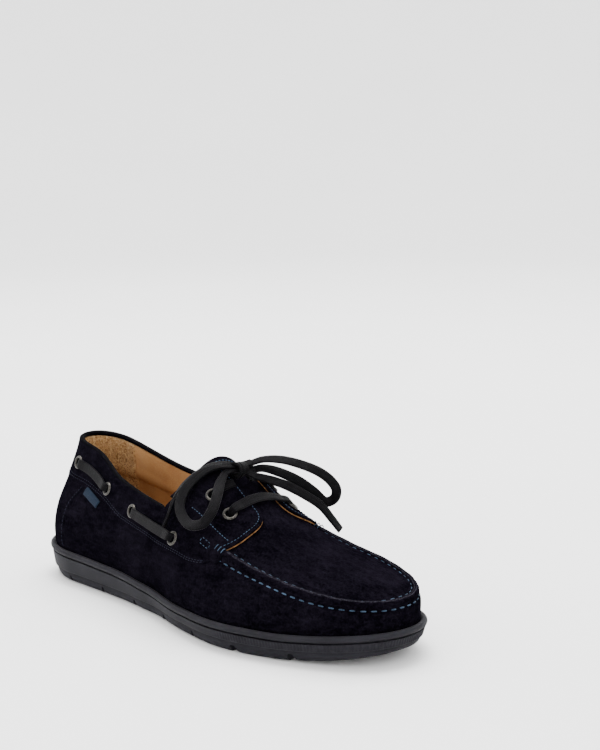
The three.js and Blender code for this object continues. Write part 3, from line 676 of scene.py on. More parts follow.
# Creases pressed into the wall: x at the sole and how far it shifts up to the top line, depth, width, and
# the height of the middle and its reach as shares of the wall's height.
WALL_CREASES = {
    "x": (44, 66, 16, -100),
    "shift": (26, -12, -18, 10),
    "depth": (0.85, 0.65, 0.55, 0.6),
    "width": (4.5, 5.0, 6.0, 6.0),
    "middle": (0.45, 0.52, 0.35, 0.35),
    "reach": (0.28, 0.22, 0.2, 0.25),
}


def wall_relief(u, v):
    """Soft shape of the worn-in suede: creases at the ball, a slack heel, the pull of the bold stitches."""
    place = wall_point(u, v)
    x, side = place[..., 0], np.sign(place[..., 1])
    hold = np.clip(v / 0.12, 0, 1) * np.clip((1 - v) / 0.06, 0, 1)
    soft = 0.30 * np.sin(x / 13 + 4 * v + side) * np.sin(x / 31 - 5 * v + 1)
    soft = soft + 0.14 * np.sin(x / 5.3 + 9 * v + 2 * side) * np.sin(x / 9.1 - 7 * v)
    for start, shift, depth, width, middle, reach in zip(*WALL_CREASES.values()):
        soft = soft - depth * trough(x - start - shift * v, width) * trough(v - middle, reach)
    from_stitch = (v - wall_stitch(x)) * (top_height(x) - lip_top(x))
    swell = 0.55 * trough(from_stitch - 2.2, 1.6) + 0.25 * trough(from_stitch + 2.6, 2.2)
    pull = np.clip((x - 44) / 6, 0, 1) * (swell - 0.5 * trough(from_stitch, 0.7))
    return hold * soft + pull * np.clip((1 - v) / 0.02, 0, 1)


def on_wall(u, v, lift=0.0):
    return wall_point(u, v) + wall_normal(u, v) * (wall_relief(u, v) + lift)[..., None]


# Brushed suede: near-black navy with clouds where the nap lies the other way, and a fibrous bump.
navy_suede = textured_finish(
    "navy_suede",
    {
        "clouds": ("Noise", {"Scale": 42, "Detail": 4, "Roughness": 0.62, "Distortion": 0.5}),
        "nap": (
            "Noise", {"Scale": 1, "Detail": 5, "Roughness": 0.65},
            {"Rotation": (0, 0.5, 0.2), "Scale": (110, 330, 420)},
        ),
        "fibres": ("Noise", {"Scale": 780, "Detail": 4, "Roughness": 0.75}),
    },
    {"clouds": 0.26, "nap": 0.28, "fibres": 0.46},
    ((0.43, (0.0004, 0.0003, 0.0008)), (0.62, (0.0058, 0.0048, 0.0080))),
    (("nap", 0.4, 0.0006), ("fibres", 0.9, 0.0007)),
    Roughness=1.0, Specular_IOR_Level=0.0, Sheen_Weight=0.004, Sheen_Roughness=0.6,
    Sheen_Tint=(0.62, 0.56, 0.85, 1),
)


def solid_faces(rows, columns, wrap=False):
    """Quads of two grids of rows by columns, back to back, joined along their borders."""
    grid = np.arange(rows * columns).reshape(rows, columns)
    if wrap:
        grid = np.hstack([grid, grid[:, :1]])
    back = rows * columns
    top = np.stack([grid[:-1, :-1], grid[:-1, 1:], grid[1:, 1:], grid[1:, :-1]], -1).reshape(-1, 4)
    borders = [(grid[0, 1:], grid[0, :-1]), (grid[-1, :-1], grid[-1, 1:])]
    if not wrap:
        borders += [(grid[:-1, 0], grid[1:, 0]), (grid[1:, -1], grid[:-1, -1])]
    sides = [np.stack([a, b, b + back, a + back], -1) for a, b in borders]
    return np.vstack([top, top[:, ::-1] + back, *sides]).tolist()


def skin_piece(name, front, back, finish, slot, *stands_for, wrap=False):
    """A closed skin between two grids of points."""
    faces = solid_faces(*front.shape[:2], wrap)
    points = np.vstack([front.reshape(-1, 3), back.reshape(-1, 3)])
    make_piece(name, points, outward(points, faces), finish, slot, *stands_for)


def make_quarters():
    u = np.linspace(0, 2, 641)[:-1]
    v = np.concatenate([np.linspace(0, 0.74, 42)[:-1], np.linspace(0.74, 1, 34)])
    across, up = np.meshgrid(u, v)
    front, back = on_wall(across, up), on_wall(across, up, -SUEDE_OUTER)
    x = outline_point(u)[:, 0]
    hem = lip_top(x) - CUP_DEPTH + GAP
    front = np.concatenate([inset_point(u, np.full_like(u, CUP_INSET + GAP), hem)[None], front])
    back = np.concatenate([inset_point(u, np.full_like(u, CUP_INSET + GAP + SUEDE_OUTER), hem)[None], back])
    skin_piece("upper_quarters", front, back, navy_suede, "navy_suede", "upper", wrap=True)


make_quarters()

# ------------------------------------------------------------------ upper: toe panel
# Suede apron over the toes and vamp, gently domed, sewn edge to edge with the wall all round.

CROWN = {
    "x": (-30.0, -11.0, 19.0, 33.0, 45.0, 70.0, 100.0, 130.0, 143.5),
    "z": (30.0, 28.0, 22.0, 16.8, 13.0, 9.0, 7.0, 4.0, 0.8),
}
PANEL_START = 34.0
SEAM_START = 43.0
crown_height = column_curve(CROWN, "z")


def instep_point(x, share):
    """Top of the instep and toe panel: share is -1 at the outer edge and 1 at the inner edge."""
    x, share = np.broadcast_arrays(np.asarray(x, float), np.asarray(share, float))
    y = centre_line(x) + share * top_half_at(x)
    return np.stack([x, y, top_height(x) + crown_height(x) * (1 - share * share)], -1)


def instep_normal(x, share):
    along = instep_point(x + 0.5, share) - instep_point(x - 0.5, share)
    across = instep_point(x, share + 0.02) - instep_point(x, share - 0.02)
    return unit(np.cross(along, across))


def clustered(count, rim, rows=4):
    """Places from 0 to 1, close together within rim of both ends."""
    turn = np.linspace(0, math.pi / 2, rows + 1)[:-1]
    edge = rim * (1 - np.cos(turn))
    return np.concatenate([edge, np.linspace(rim, 1 - rim, count), 1 - edge[::-1]])


def rounded(distance, radius):
    """How far in the skin of a plate lies, near an edge that is rounded."""
    return radius * (1 - np.sqrt(1 - np.clip(1 - distance / radius, 0, 1) ** 2))


def edge_distances(points):
    """Distance of each point of a grid from the grid's nearest border, along rows and along columns."""
    nearest = []
    for axis in (0, 1):
        steps = np.linalg.norm(np.diff(points, axis=axis), axis=-1)
        pad = [(0, 0), (0, 0)]
        pad[axis] = (1, 0)
        run = np.cumsum(np.pad(steps, pad), axis=axis)
        total = run.take([-1], axis=axis)
        nearest.append(np.minimum(run, total - run))
    return nearest


def plate_piece(name, points, normals, lift, thick, finish, slot, *stands_for, radius=None):
    """A plate over a grid of points: its underside is lifted by lift, and its edges are rounded."""
    radius = radius or 0.46 * thick
    along, across = edge_distances(points)
    sink = np.minimum(rounded(along, radius) + rounded(across, radius), radius)[..., None]
    front = points + normals * (lift + thick - sink)
    back = points + normals * (lift + sink)
    skin_piece(name, front, back, finish, slot, *stands_for)


def make_toe_panel():
    along = np.linspace(0, 1, 110)
    x = PANEL_START + (TOP_END - 0.3 - PANEL_START) * np.sin(along * math.pi / 2)
    share = np.sin(np.linspace(-1, 1, 91) * math.pi / 2)
    shares, xs = np.meshgrid(share, x)
    base, normal = instep_point(xs, shares), instep_normal(xs, shares)
    soft = 0.22 * np.sin(xs / 11 + 2 * shares) * np.sin(xs / 23 - 3 * shares)
    soft = soft - 0.35 * trough(xs - 66 - 5 * shares**2, 5) - 0.25 * trough(xs - 79 + 4 * shares, 6)
    soft = soft * np.clip((1 - np.abs(shares)) / 0.15, 0, 1)
    front = base + normal * soft[..., None]
    skin_piece("upper_toe_panel", front, base - normal * SUEDE, navy_suede, "navy_suede")


make_toe_panel()

# ------------------------------------------------------------------ upper: moccasin seam
# The wall's and the panel's edges stand up against each other and are sewn through, which makes a ridge
# with the two cut edges side by side on its crest. It puckers at each stitch.

SEAM_RADIUS, SEAM_SINK, SEAM_PITCH = 2.0, 0.3, 5.6
# The two cut edges on the crest: how far across it and how high each stands, half its width and height.
CUT_EDGES = {"seam_edge_wall": (-0.62, 1.72), "seam_edge_panel": (0.62, 1.52)}
CUT_EDGE_HALF, CUT_EDGE_RISE = 0.36, 0.55


def top_stations(start, step=0.7):
    """Places round the top line in front of start, from the outer side round the toe, at even steps."""
    dense = np.linspace(0.3, 1.7, 6001)
    inside = dense[top_point(dense)[:, 0] > start]
    points = top_point(inside)
    _, shares = evenly(points, step)
    run = run_along(points)
    return np.interp(shares * run[-1], run, inside), shares * run[-1]


def seam_frame(u):
    ahead = unit(top_point(u + 0.004) - top_point(u - 0.004))
    side = unit(np.stack([-ahead[..., 1], ahead[..., 0], np.zeros_like(u)], -1))
    return side, np.cross(ahead, side)


def round_piece(name, section, sides, finish, slot):
    """A closed tube: section gives the line along its skin at each turn round it."""
    rings = [section(turn) for turn in np.linspace(0, 2 * math.pi, sides + 1)[:-1]]
    points = np.stack(rings, 1).reshape(-1, 3)
    make_piece(name, points, outward(points, tube_faces(len(rings[0]), sides)), finish, slot)


def make_moccasin_seam():
    u, run = top_stations(SEAM_START)
    side, rise = seam_frame(u)
    heart = top_point(u) - SEAM_SINK * rise
    taper = np.clip(np.minimum(run, run[-1] - run) / 4, 0.25, 1) ** 0.5
    pucker = 1 + 0.05 * np.cos(run * 2 * math.pi / SEAM_PITCH) + 0.02 * np.sin(run / 3.1)

    def section(turn):
        off_crest = (turn - math.pi / 2 + math.pi) % (2 * math.pi) - math.pi
        radius = SEAM_RADIUS * taper * pucker * (1 - 0.16 * math.exp(-((off_crest / 0.2) ** 2)))
        return heart + side * (radius * math.cos(turn))[:, None] + rise * (radius * math.sin(turn))[:, None]

    round_piece("upper_moccasin_seam", section, 20, navy_suede, "navy_suede")


make_moccasin_seam()

# The raw edge of the suede, lighter than its face: partly its own greyer cut fibres, partly a painted
# highlight along the seam's crest.
raw_edge_and_highlight = textured_finish(
    "raw_edge_and_highlight", {"fluff": ("Noise", {"Scale": 700, "Detail": 4, "Roughness": 0.7})}, {"fluff": 1},
    ((0.35, (0.0045, 0.0040, 0.0062)), (0.65, (0.0240, 0.0220, 0.0290))), (("fluff", 0.8, 0.0004),),
    Roughness=1.0, Specular_IOR_Level=0.0,
)


def make_cut_edge(name, across, up):
    u, run = top_stations(SEAM_START + 1)
    side, rise = seam_frame(u)
    wander = 0.12 * np.sin(run / 2.3 + across) + 0.10 * np.sin(run / 5.1)
    heart = top_point(u) + side * (across + wander)[:, None] + rise * (up - SEAM_SINK)
    half = CUT_EDGE_HALF * (1 + 0.12 * np.sin(run * 2 * math.pi / SEAM_PITCH + across))

    def section(turn):
        return heart + side * (half * math.cos(turn))[:, None] + rise * (CUT_EDGE_RISE * math.sin(turn))

    # The cut edges take the lighter finish: grey cut fibres plus a painted highlight on the crest.
    round_piece(name, section, 8, raw_edge_and_highlight, "navy_suede")


for name, (across, up) in CUT_EDGES.items():
    make_cut_edge(name, across, up)

# ------------------------------------------------------------------ upper: collar strip
# A strip of the same suede laid over the quarters from the heel round both sides, with its lower edge
# double-stitched. The collar eyelets go through it. In front it turns up to the moccasin seam.

STRIP_THICK = 0.9
STRIP_SEAM = {
    "x": (0.0, 0.045, 0.26, 0.30, 0.37, 0.43, 0.48, 0.54, 0.565, 0.580, 0.590),
    "v": (0.63, 0.64, 0.67, 0.68, 0.61, 0.60, 0.57, 0.59, 0.645, 0.74, 0.93),
}
STRIP_FRONT = STRIP_SEAM["x"][-1]
strip_seam = column_curve(STRIP_SEAM, "v")


def make_collar_strip():
    steps = STRIP_FRONT * np.sin(np.linspace(-1, 1, 301) * math.pi / 2)
    rows = np.concatenate([[0, 0.012, 0.03], np.linspace(0.06, 1, 26)])
    u, row = np.meshgrid(steps, rows)
    low = strip_seam(np.abs(u))
    v = low + (1 - low) * row
    height = (v - low) * 62
    lift = STRIP_THICK - rounded(height, 0.8) - 0.08 * np.clip(1 - height / 4, 0, 1)
    skin_piece("upper_collar_strip", on_wall(u, v, lift), on_wall(u, v, -0.15), navy_suede, "navy_suede")


make_collar_strip()

# ------------------------------------------------------------------ upper: heel counter
# A suede patch over the stiffener round the heel, its front edge a stitched curve from the strip down
# to the sole.

COUNTER_THICK, COUNTER_SUNK, COUNTER_TALL = 0.55, 0.03, 0.63
COUNTER_EDGE = {"x": (0.0, 0.2, 0.4, 0.63), "v": (0.230, 0.217, 0.206, 0.222)}
counter_edge = column_curve(COUNTER_EDGE, "v")


def make_heel_counter():
    rows = np.linspace(0, 1, 40)
    columns = np.concatenate([[-1, -0.99, -0.975], np.linspace(-0.95, 0.95, 90), [0.975, 0.99, 1]])
    row, column = np.meshgrid(rows, columns, indexing="ij")
    edge = counter_edge(row * COUNTER_TALL)
    u = column * edge
    v = row * (strip_seam(np.abs(u)) + 0.01)
    lift = COUNTER_THICK - rounded((edge - np.abs(u)) * 300, 0.5) - COUNTER_SUNK
    skin_piece("upper_heel_counter", on_wall(u, v, lift), on_wall(u, v, -0.15), navy_suede, "navy_suede")


make_heel_counter()

# ------------------------------------------------------------------ upper: eyestay flaps
# A suede flap on each side, sewn into the wall at its root and lined with tan leather, whose raw edge
# shows in front. Two eyelets go through it.

FLAP_REAR, FLAP_ROOT_REAR = 9.0, -7.0
FLAP_FRONT = {"lateral": 52.0, "medial": 48.0}
FLAP_LIFT, FLAP_THICK, FLAP_LINING, FLAP_EDGE = 0.7, 2.0, 0.6, 0.65
FLAP_TOP = FLAP_LIFT + FLAP_THICK
FLAP_CORNER, FLAP_POWER, FLAP_SQUARE = 13.0, 2.4, 0.45
FLAP_ROOT_FALL, FLAP_ROOT_SHARE = 4.0, 0.35
FLAP_INNER = {"lateral": -0.13, "medial": 0.4}
FLAP_SUNK = 0.1
LINING_SHOWS, LINING_HIDES = 0.15, 1.2


def flap_fall(across):
    """How far the front edge falls back: across is 0 at the root and 1 at the inner edge."""
    past = np.clip((across - FLAP_SQUARE) / (1 - FLAP_SQUARE), 0, 1)
    near_root = np.clip(1 - across / FLAP_ROOT_SHARE, 0, 1)
    return FLAP_CORNER * (1 - (1 - past**FLAP_POWER) ** (1 / FLAP_POWER)) + FLAP_ROOT_FALL * near_root**2


def top_place(x, side):
    """u where the top line stands at x, on the outer (-1) or inner (1) side."""
    u = np.arccos(np.clip(1 - 2 * (x - TOP_START) / (TOP_END - TOP_START), -1, 1)) / math.pi
    return np.where(side < 0, u, 2 - u)


def flap_grid(inner, front, rear=0.0):
    """Points and normals from the flap's inner edge to its root, starting rear behind its rear edge."""
    root = np.sign(inner)
    from_inner = clustered(34, 0.035)[:-4]
    a, b = np.meshgrid(clustered(46, 0.022), from_inner, indexing="ij")
    start = FLAP_REAR + rear
    x_here = start + (front - flap_fall(1 - b) - start) * a
    x = x_here - (FLAP_REAR - FLAP_ROOT_REAR) * b**2 * (1 - a)
    share = inner + (root - inner) * b
    return instep_point(x, share), instep_normal(x, share)


def flap_root(points, normals, side, fall=0.2, rows=9):
    """The flap's skin carried on from its root down the wall, closing on the collar strip."""
    tail_points, tail_normals, lifts = [], [], []
    x = points[:, -1, 0]
    u = top_place(x, side)
    for t in np.linspace(0, 1, rows + 1)[1:]:
        v = np.full_like(u, 1 - fall * t)
        tail_points.append(wall_point(u, v) + wall_normal(u, v) * wall_relief(u, v)[..., None])
        tail_normals.append(unit(wall_normal(u, v) * min(1, 2 * t) + normals[:, -1] * max(0, 1 - 2 * t)))
        lifts.append(t)
    joined = np.concatenate([points, np.stack(tail_points, 1)], 1)
    return joined, np.concatenate([normals, np.stack(tail_normals, 1)], 1), np.array(lifts)


# Tan leather split, darker where it is cut.
lining_edge = textured_finish(
    "lining_edge", {"fibres": ("Noise", {"Scale": 500, "Detail": 4})}, {"fibres": 1},
    ((0.35, (0.05, 0.024, 0.010)), (0.65, (0.20, 0.10, 0.040))), (("fibres", 0.4, 0.0002),),
    Roughness=0.8, Specular_IOR_Level=0.05,
)


def make_flap(side_name, inner):
    """The suede of a flap, carried on down to the collar strip, and the lining under it."""
    base, normal = flap_grid(inner, FLAP_FRONT[side_name])
    columns = base.shape[1]
    base, normal, tail = flap_root(base, normal, np.sign(inner))
    top = np.full(base.shape[:2], FLAP_TOP)
    under = np.full(base.shape[:2], FLAP_LIFT + FLAP_LINING)
    top[:, columns:] += (STRIP_THICK - FLAP_SUNK - FLAP_TOP) * tail * tail * (3 - 2 * tail)
    under[:, columns:] += (-FLAP_SUNK - FLAP_LIFT - FLAP_LINING) * np.minimum(1, 3 * tail)
    along, across = edge_distances(base)
    across = np.where(np.arange(base.shape[1]) < columns // 2, across, 9)
    sink = np.minimum(rounded(along, FLAP_EDGE) + rounded(across, FLAP_EDGE), FLAP_EDGE)
    front, back = base + normal * (top - sink)[..., None], base + normal * (under + sink)[..., None]
    skin_piece(f"upper_flap_{side_name}", front, back, navy_suede, "navy_suede")
    base, normal = flap_grid(inner, FLAP_FRONT[side_name] + LINING_SHOWS, rear=LINING_HIDES)
    name = f"flap_lining_{side_name}"
    plate_piece(name, base, normal, FLAP_LIFT, FLAP_LINING, lining_edge, "tan_leather", radius=0.2)


for side_name, inner in FLAP_INNER.items():
    make_flap(side_name, inner)

# ------------------------------------------------------------------ tongue
# Suede tongue under the flaps, unlined. Its free end stands up behind them as a rounded trapezoid.

TONGUE_REACH, TONGUE_TIP, TONGUE_SIDE = 0.88, 1.0, -9.0
CURL_RISE, CURL_MIDDLE, CURL_HALF, CURL_DEPTH = 3.0, 0.25, 0.8, 7.0


def tongue_rear(s):
    return TONGUE_TIP - (TONGUE_TIP - TONGUE_SIDE) * np.abs(s) ** 3.2


def tongue_place(row, s):
    rear = tongue_rear(s)
    return rear + (PANEL_START - 2 * GAP - rear) * row, s * TONGUE_REACH


def on_tongue(row, s, lift=0.0):
    """Points on the tongue and its normals. Its free end curls up off the instep."""
    x, share = tongue_place(row, s)
    across = np.clip(1 - ((s - CURL_MIDDLE) / CURL_HALF) ** 2, 0, None)
    along = np.clip(1 - (x - tongue_rear(s)) / CURL_DEPTH, 0, None)
    curl = CURL_RISE * across * along**1.5 + lift
    normals = instep_normal(x, share)
    return instep_point(x, share) + normals * curl[..., None], normals


def make_tongue():
    row, s = np.meshgrid(clustered(60, 0.03), clustered(70, 0.016) * 2 - 1, indexing="ij")
    points, normals = on_tongue(row, s)
    plate_piece("tongue_suede", points, normals, -SUEDE, SUEDE, navy_suede, "navy_suede", "tongue")


make_tongue()

# ------------------------------------------------------------------ collar binding
# A folded strip of smooth near-black leather over the collar's edge, round the heel from one throat
# corner to the other.

BINDING_RADIUS, BINDING_FLAT, BINDING_IN, BINDING_DOWN = 1.5, 1.12, 1.0, 0.35
THROAT_X = -8.0

binding_leather = textured_finish(
    "binding_leather", {"grain": ("Noise", {"Scale": 900, "Detail": 4})}, {"grain": 1},
    ((0.3, (0.0006, 0.0005, 0.0010)), (0.7, (0.0020, 0.0018, 0.0028))), (("grain", 0.3, 0.0002),),
    Roughness=0.85, Specular_IOR_Level=0.02,
)


def make_binding():
    reach = float(top_place(THROAT_X, -1))
    u = np.linspace(-reach, reach, 260)
    down = unit(wall_point(u, 0.97) - top_point(u))
    inward = -wall_normal(u, np.full_like(u, 0.99))
    heart = top_point(u) + inward * BINDING_IN + down * BINDING_DOWN
    taper = np.clip(np.minimum(u + reach, reach - u) / 0.01, 0.35, 1)[:, None] * BINDING_RADIUS

    def section(turn):
        return heart + (inward * BINDING_FLAT * math.cos(turn) - down * math.sin(turn)) * taper

    round_piece("collar_binding", section, 16, binding_leather, "navy_suede")


make_binding()

# ------------------------------------------------------------------ lining
# Tan leather inside the quarters, padded above a seam that runs 20 mm under the collar. Round the heel
# it is a looped terry, joined to the leather by an upright seam on each side.

TERRY_REACH, TERRY_LAP, TERRY_PILE, TERRY_TUFT = 0.203, 0.004, 0.7, 0.28
PAD_SEAM, PAD_DEPTH, PAD_CREASE = 0.60, 2.6, 0.9


def lining_pad(u, v):
    """How far the padding stands in from the wall. It fades out in front of the throat."""
    rise = np.clip((v - PAD_SEAM) / (1 - PAD_SEAM), 0, 1)
    fade = np.clip((0.56 - np.abs(np.where(u > 1, u - 2, u))) / 0.12, 0, 1)
    pad = PAD_DEPTH * np.sin(math.pi * np.minimum(rise * 1.6, 0.5 + 0.5 * rise) ** 0.8) ** 0.8
    return fade * (np.where(v > PAD_SEAM, pad, 0) - PAD_CREASE * trough((v - PAD_SEAM) * 60, 0.9))


# Cotton loops, matt, in tufts of a few millimetres.
tan_terry = textured_finish(
    "tan_terry",
    {
        "tufts": ("Noise", {"Scale": 560, "Detail": 4, "Roughness": 0.7, "Distortion": 1.6}),
        "loops": ("Voronoi", {"Scale": 900}),
    },
    {"tufts": 1},
    ((0.36, (0.14, 0.065, 0.019)), (0.50, (0.40, 0.220, 0.088)), (0.64, (0.57, 0.370, 0.175))),
    (("tufts", 0.9, 0.0014), ("loops", 0.5, 0.0006)),
    Roughness=0.95, Specular_IOR_Level=0.05, Sheen_Weight=0.05,
)


def lining_skin(name, u_from, u_to, columns, finish, slot, tufts=0.0):
    """The lining between two places round the shoe, in tufts and with a raised edge where it is terry."""
    u = np.linspace(u_from, u_to, columns)
    low, seam = np.linspace(0.0, PAD_SEAM - 0.04, 20), np.linspace(PAD_SEAM - 0.02, PAD_SEAM + 0.06, 9)
    across, up = np.meshgrid(u, np.concatenate([low, seam, np.linspace(PAD_SEAM + 0.08, 0.975, 26)]))
    point, normal = on_wall(across, up), wall_normal(across, up)
    pad = lining_pad(across, up)
    if tufts:
        x, y, z = np.moveaxis(point, -1, 0)
        pad = pad + tufts * np.sin(x * 2.1 + y) * np.sin(z * 2.3 + np.sin(x))
        pad = pad + 0.5 * tufts * np.sin(5 * x + 3 * z)
        pad = pad + TERRY_PILE - rounded(np.minimum(across - u_from, u_to - across) * 260, 0.8)
    front, back = point - normal * (SUEDE + pad)[..., None], point - normal * (SUEDE_OUTER + 0.1)
    skin_piece(name, front, back, finish, slot)


lining_skin("lining_leather", TERRY_REACH, 2 - TERRY_REACH, 420, tan_leather, "tan_leather")
terry_end = TERRY_REACH + TERRY_LAP
lining_skin("lining_terry", -terry_end, terry_end, 260, tan_terry, "tan_terry", tufts=TERRY_TUFT)

# ------------------------------------------------------------------ stitches
# Waxed thread. Bold blue stitches on the wall under the moccasin seam and on the panel above it, finer
# blue ones on the flaps and tongue, faded navy ones on the strip and counter, and tan ones in the lining.

# A stitch from end to end: place along it, share of its radius, and height in radii.
STITCH_SHAPE = (
    (-0.5, 0.35, -1.1), (-0.44, 0.8, -0.4), (-0.2, 1.0, 0.75),
    (0.2, 1.0, 0.75), (0.44, 0.8, -0.4), (0.5, 0.35, -1.1),
)
STITCH_RISE, STITCH_SINK, STITCH_BED, STITCH_SIDES = 0.35, 0.3, 0.05, 6

blue_thread = textured_finish(
    "blue_thread",
    {"ply": ("Noise", {"Scale": 1500, "Detail": 2}), "worn": ("Noise", {"Scale": 170, "Detail": 2})},
    {"ply": 0.35, "worn": 0.65},
    ((0.36, (0.007, 0.014, 0.025)), (0.64, (0.040, 0.069, 0.112))), (("ply", 0.5, 0.0002),),
    Roughness=0.6, Specular_IOR_Level=0.1,
)
navy_thread = textured_finish(
    "navy_thread", {"ply": ("Noise", {"Scale": 1500, "Detail": 2})}, {"ply": 1},
    ((0.3, (0.0042, 0.0046, 0.0095)), (0.7, (0.010, 0.011, 0.020))),
    Roughness=0.65, Specular_IOR_Level=0.05,
)


def stitch_run(points, normals, pitch, length, radius):
    """Stitches along a line on a surface, each a sliver of thread whose ends sink in."""
    run = run_along(points)
    count = max(int(run[-1] / pitch), 1)

    def at_run(rows, at):
        return np.array([np.interp(at, run, rows[:, k]) for k in range(3)])

    made = []
    for middle in (np.arange(count) + 0.5) * run[-1] / count:
        rings = []
        for place, fat, lift in STITCH_SHAPE:
            at = middle + place * length
            tangent = unit(at_run(points, at + 0.2) - at_run(points, at - 0.2))
            normal = at_run(normals, at)
            normal = unit(normal - tangent * (normal @ tangent))
            side = np.cross(tangent, normal)
            heart = at_run(points, at) + normal * radius * (lift * STITCH_RISE + min(lift, 0) * STITCH_SINK)
            for turn in np.linspace(0, 2 * math.pi, STITCH_SIDES + 1)[:-1]:
                rings.append(heart + radius * fat * (side * math.cos(turn) + normal * math.sin(turn)))
        made.append((rings, tube_faces(len(STITCH_SHAPE), STITCH_SIDES)))
    return joined(made)


def stitch_piece(name, lines, thread, pitch, length, radius):
    points, faces = joined([stitch_run(line, normals, pitch, length, radius) for line, normals in lines])
    make_piece(name, points, outward(points, faces), thread, "blue_thread", sharp=math.pi)


def wall_line(u, v, lift=0.0):
    return on_wall(u, v, lift), wall_normal(u, v)


def panel_line(inset, start):
    """A line on the toe panel, inset from the moccasin seam."""
    u, _ = top_stations(start)
    ahead = unit((top_point(u + 0.004) - top_point(u - 0.004))[:, :2])
    flat = top_point(u)[:, :2] + np.stack([-ahead[:, 1], ahead[:, 0]], -1) * inset
    x = flat[:, 0]
    share = np.clip((flat[:, 1] - centre_line(x)) / np.maximum(top_half_at(x), 1), -1, 1)
    return instep_point(x, share), instep_normal(x, share)


bold_u, _ = top_stations(SEAM_START + 2)
bold_v = wall_stitch(wall_point(bold_u, 0.85)[:, 0])
bold_line = wall_line(bold_u, bold_v, 0.1)
stitch_piece("stitches_wall", [bold_line], blue_thread, pitch=SEAM_PITCH, length=3.3, radius=0.40)
inner_line = panel_line(2.2, SEAM_START + 9)
stitch_piece("stitches_panel", [inner_line], blue_thread, pitch=SEAM_PITCH, length=2.9, radius=0.22)

# Inset of the row inside a flap's outline, and where the row along its root starts and ends.
FLAP_HEM, FLAP_ROW_SHARE, FLAP_ROW_REAR, FLAP_ROW_FRONT = 2.3, 0.86, 14, 5.5


def on_flap(x, share):
    """Points on a flap's outer face, and its normals there."""
    normals = instep_normal(x, share)
    return instep_point(x, share) + normals * FLAP_TOP, normals


def flap_lines(side_name):
    """The row of stitches inside the flap's outline, and the row along its root."""
    inner, front = FLAP_INNER[side_name], FLAP_FRONT[side_name]
    side = np.sign(inner)
    across = np.sin(np.linspace(1, 0, 90) * math.pi / 2)
    rear_x = np.linspace(FLAP_REAR + 2, front - FLAP_CORNER, 30)[:-1]
    x = np.concatenate([rear_x, front - flap_fall(across)])
    share = np.concatenate([np.full_like(rear_x, inner), side - (side - inner) * across])
    flat = np.stack([x, centre_line(x) + share * top_half_at(x)], -1)
    ahead = unit(np.gradient(flat, axis=0))
    flat = flat + FLAP_HEM * side * np.stack([-ahead[:, 1], ahead[:, 0]], -1)
    x = flat[:, 0]
    share = (flat[:, 1] - centre_line(x)) / top_half_at(x)
    inside = np.abs(share) < 0.97
    root_x = np.linspace(front - FLAP_ROW_FRONT, FLAP_ROW_REAR, 24)
    return [on_flap(x[inside], share[inside]), on_flap(root_x, np.full(24, side * FLAP_ROW_SHARE))]


flap_rows = [row for side_name in FLAP_INNER for row in flap_lines(side_name)]
stitch_piece("stitches_flaps", flap_rows, blue_thread, pitch=2.1, length=1.4, radius=0.22)

strip_u = np.linspace(-0.575, 0.575, 500)
strip_v = strip_seam(np.abs(strip_u))
strip_rows = [wall_line(strip_u, strip_v + up, STRIP_THICK - STITCH_BED) for up in (0.030, 0.058)]
stitch_piece("stitches_strip", strip_rows, navy_thread, pitch=2.4, length=1.8, radius=0.20)

COUNTER_HEM = 0.008
counter_row = np.linspace(0.02, 0.98, 60)
counter_rows = []
for side in (-1, 1):
    counter_u = side * (counter_edge(counter_row * COUNTER_TALL) - COUNTER_HEM)
    counter_v = counter_row * strip_seam(np.abs(counter_u))
    counter_rows.append(wall_line(counter_u, counter_v, COUNTER_THICK - COUNTER_SUNK))
stitch_piece("stitches_counter", counter_rows, navy_thread, pitch=2.4, length=1.8, radius=0.20)

TONGUE_HEM = 0.09
tongue_s = np.linspace(-0.9, 0.9, 160)
tongue_row = on_tongue(np.full_like(tongue_s, TONGUE_HEM), tongue_s)
stitch_piece("stitches_tongue", [tongue_row], blue_thread, pitch=2.5, length=1.8, radius=0.22)

# The upright seams that join the terry to the leather.
lining_rows = []
lining_v = np.linspace(0.2, 0.93, 120)
for side in (-1, 1):
    lining_u = side * np.full_like(lining_v, TERRY_REACH + 0.013)
    seam_line = on_wall(lining_u, lining_v, -(SUEDE + lining_pad(lining_u, lining_v)))
    lining_rows.append((seam_line, -wall_normal(lining_u, lining_v)))
stitch_piece("stitches_lining", lining_rows, tan_leather, pitch=2.6, length=2.0, radius=0.26)

# ------------------------------------------------------------------ corner squares
# A small suede square on each side over the start of the moccasin seam, box-stitched, and the thread
# wrapped over the seam in front of it.

SIDES = {"lateral": -1, "medial": 1}
SQUARE_FROM, SQUARE_TO, SQUARE_LOW, SQUARE_HIGH = 30.0, 40.0, 0.89, 0.985
SQUARE_THICK, SQUARE_SUNK, SQUARE_HEM = 0.8, 0.1, 0.14
WRAP_PLACES, WRAP_WIDE, WRAP_TALL = (43.0, 45.6, 48.2), 3.5, 3.2


def flap_tail_lift(v):
    """Height of the flap's skin over the wall, where it closes on the collar strip."""
    t = np.clip((1 - v) / 0.2, 0, 1)
    return FLAP_TOP + (STRIP_THICK - FLAP_SUNK - FLAP_TOP) * t * t * (3 - 2 * t)


def wall_place(x, v, side):
    """u where the wall stands at x at that height, by bisection."""
    low, high = 0.0, 1.0
    for _ in range(40):
        middle = (low + high) / 2
        if wall_point(middle, v)[0] < x:
            low = middle
        else:
            high = middle
    return low if side < 0 else 2 - low


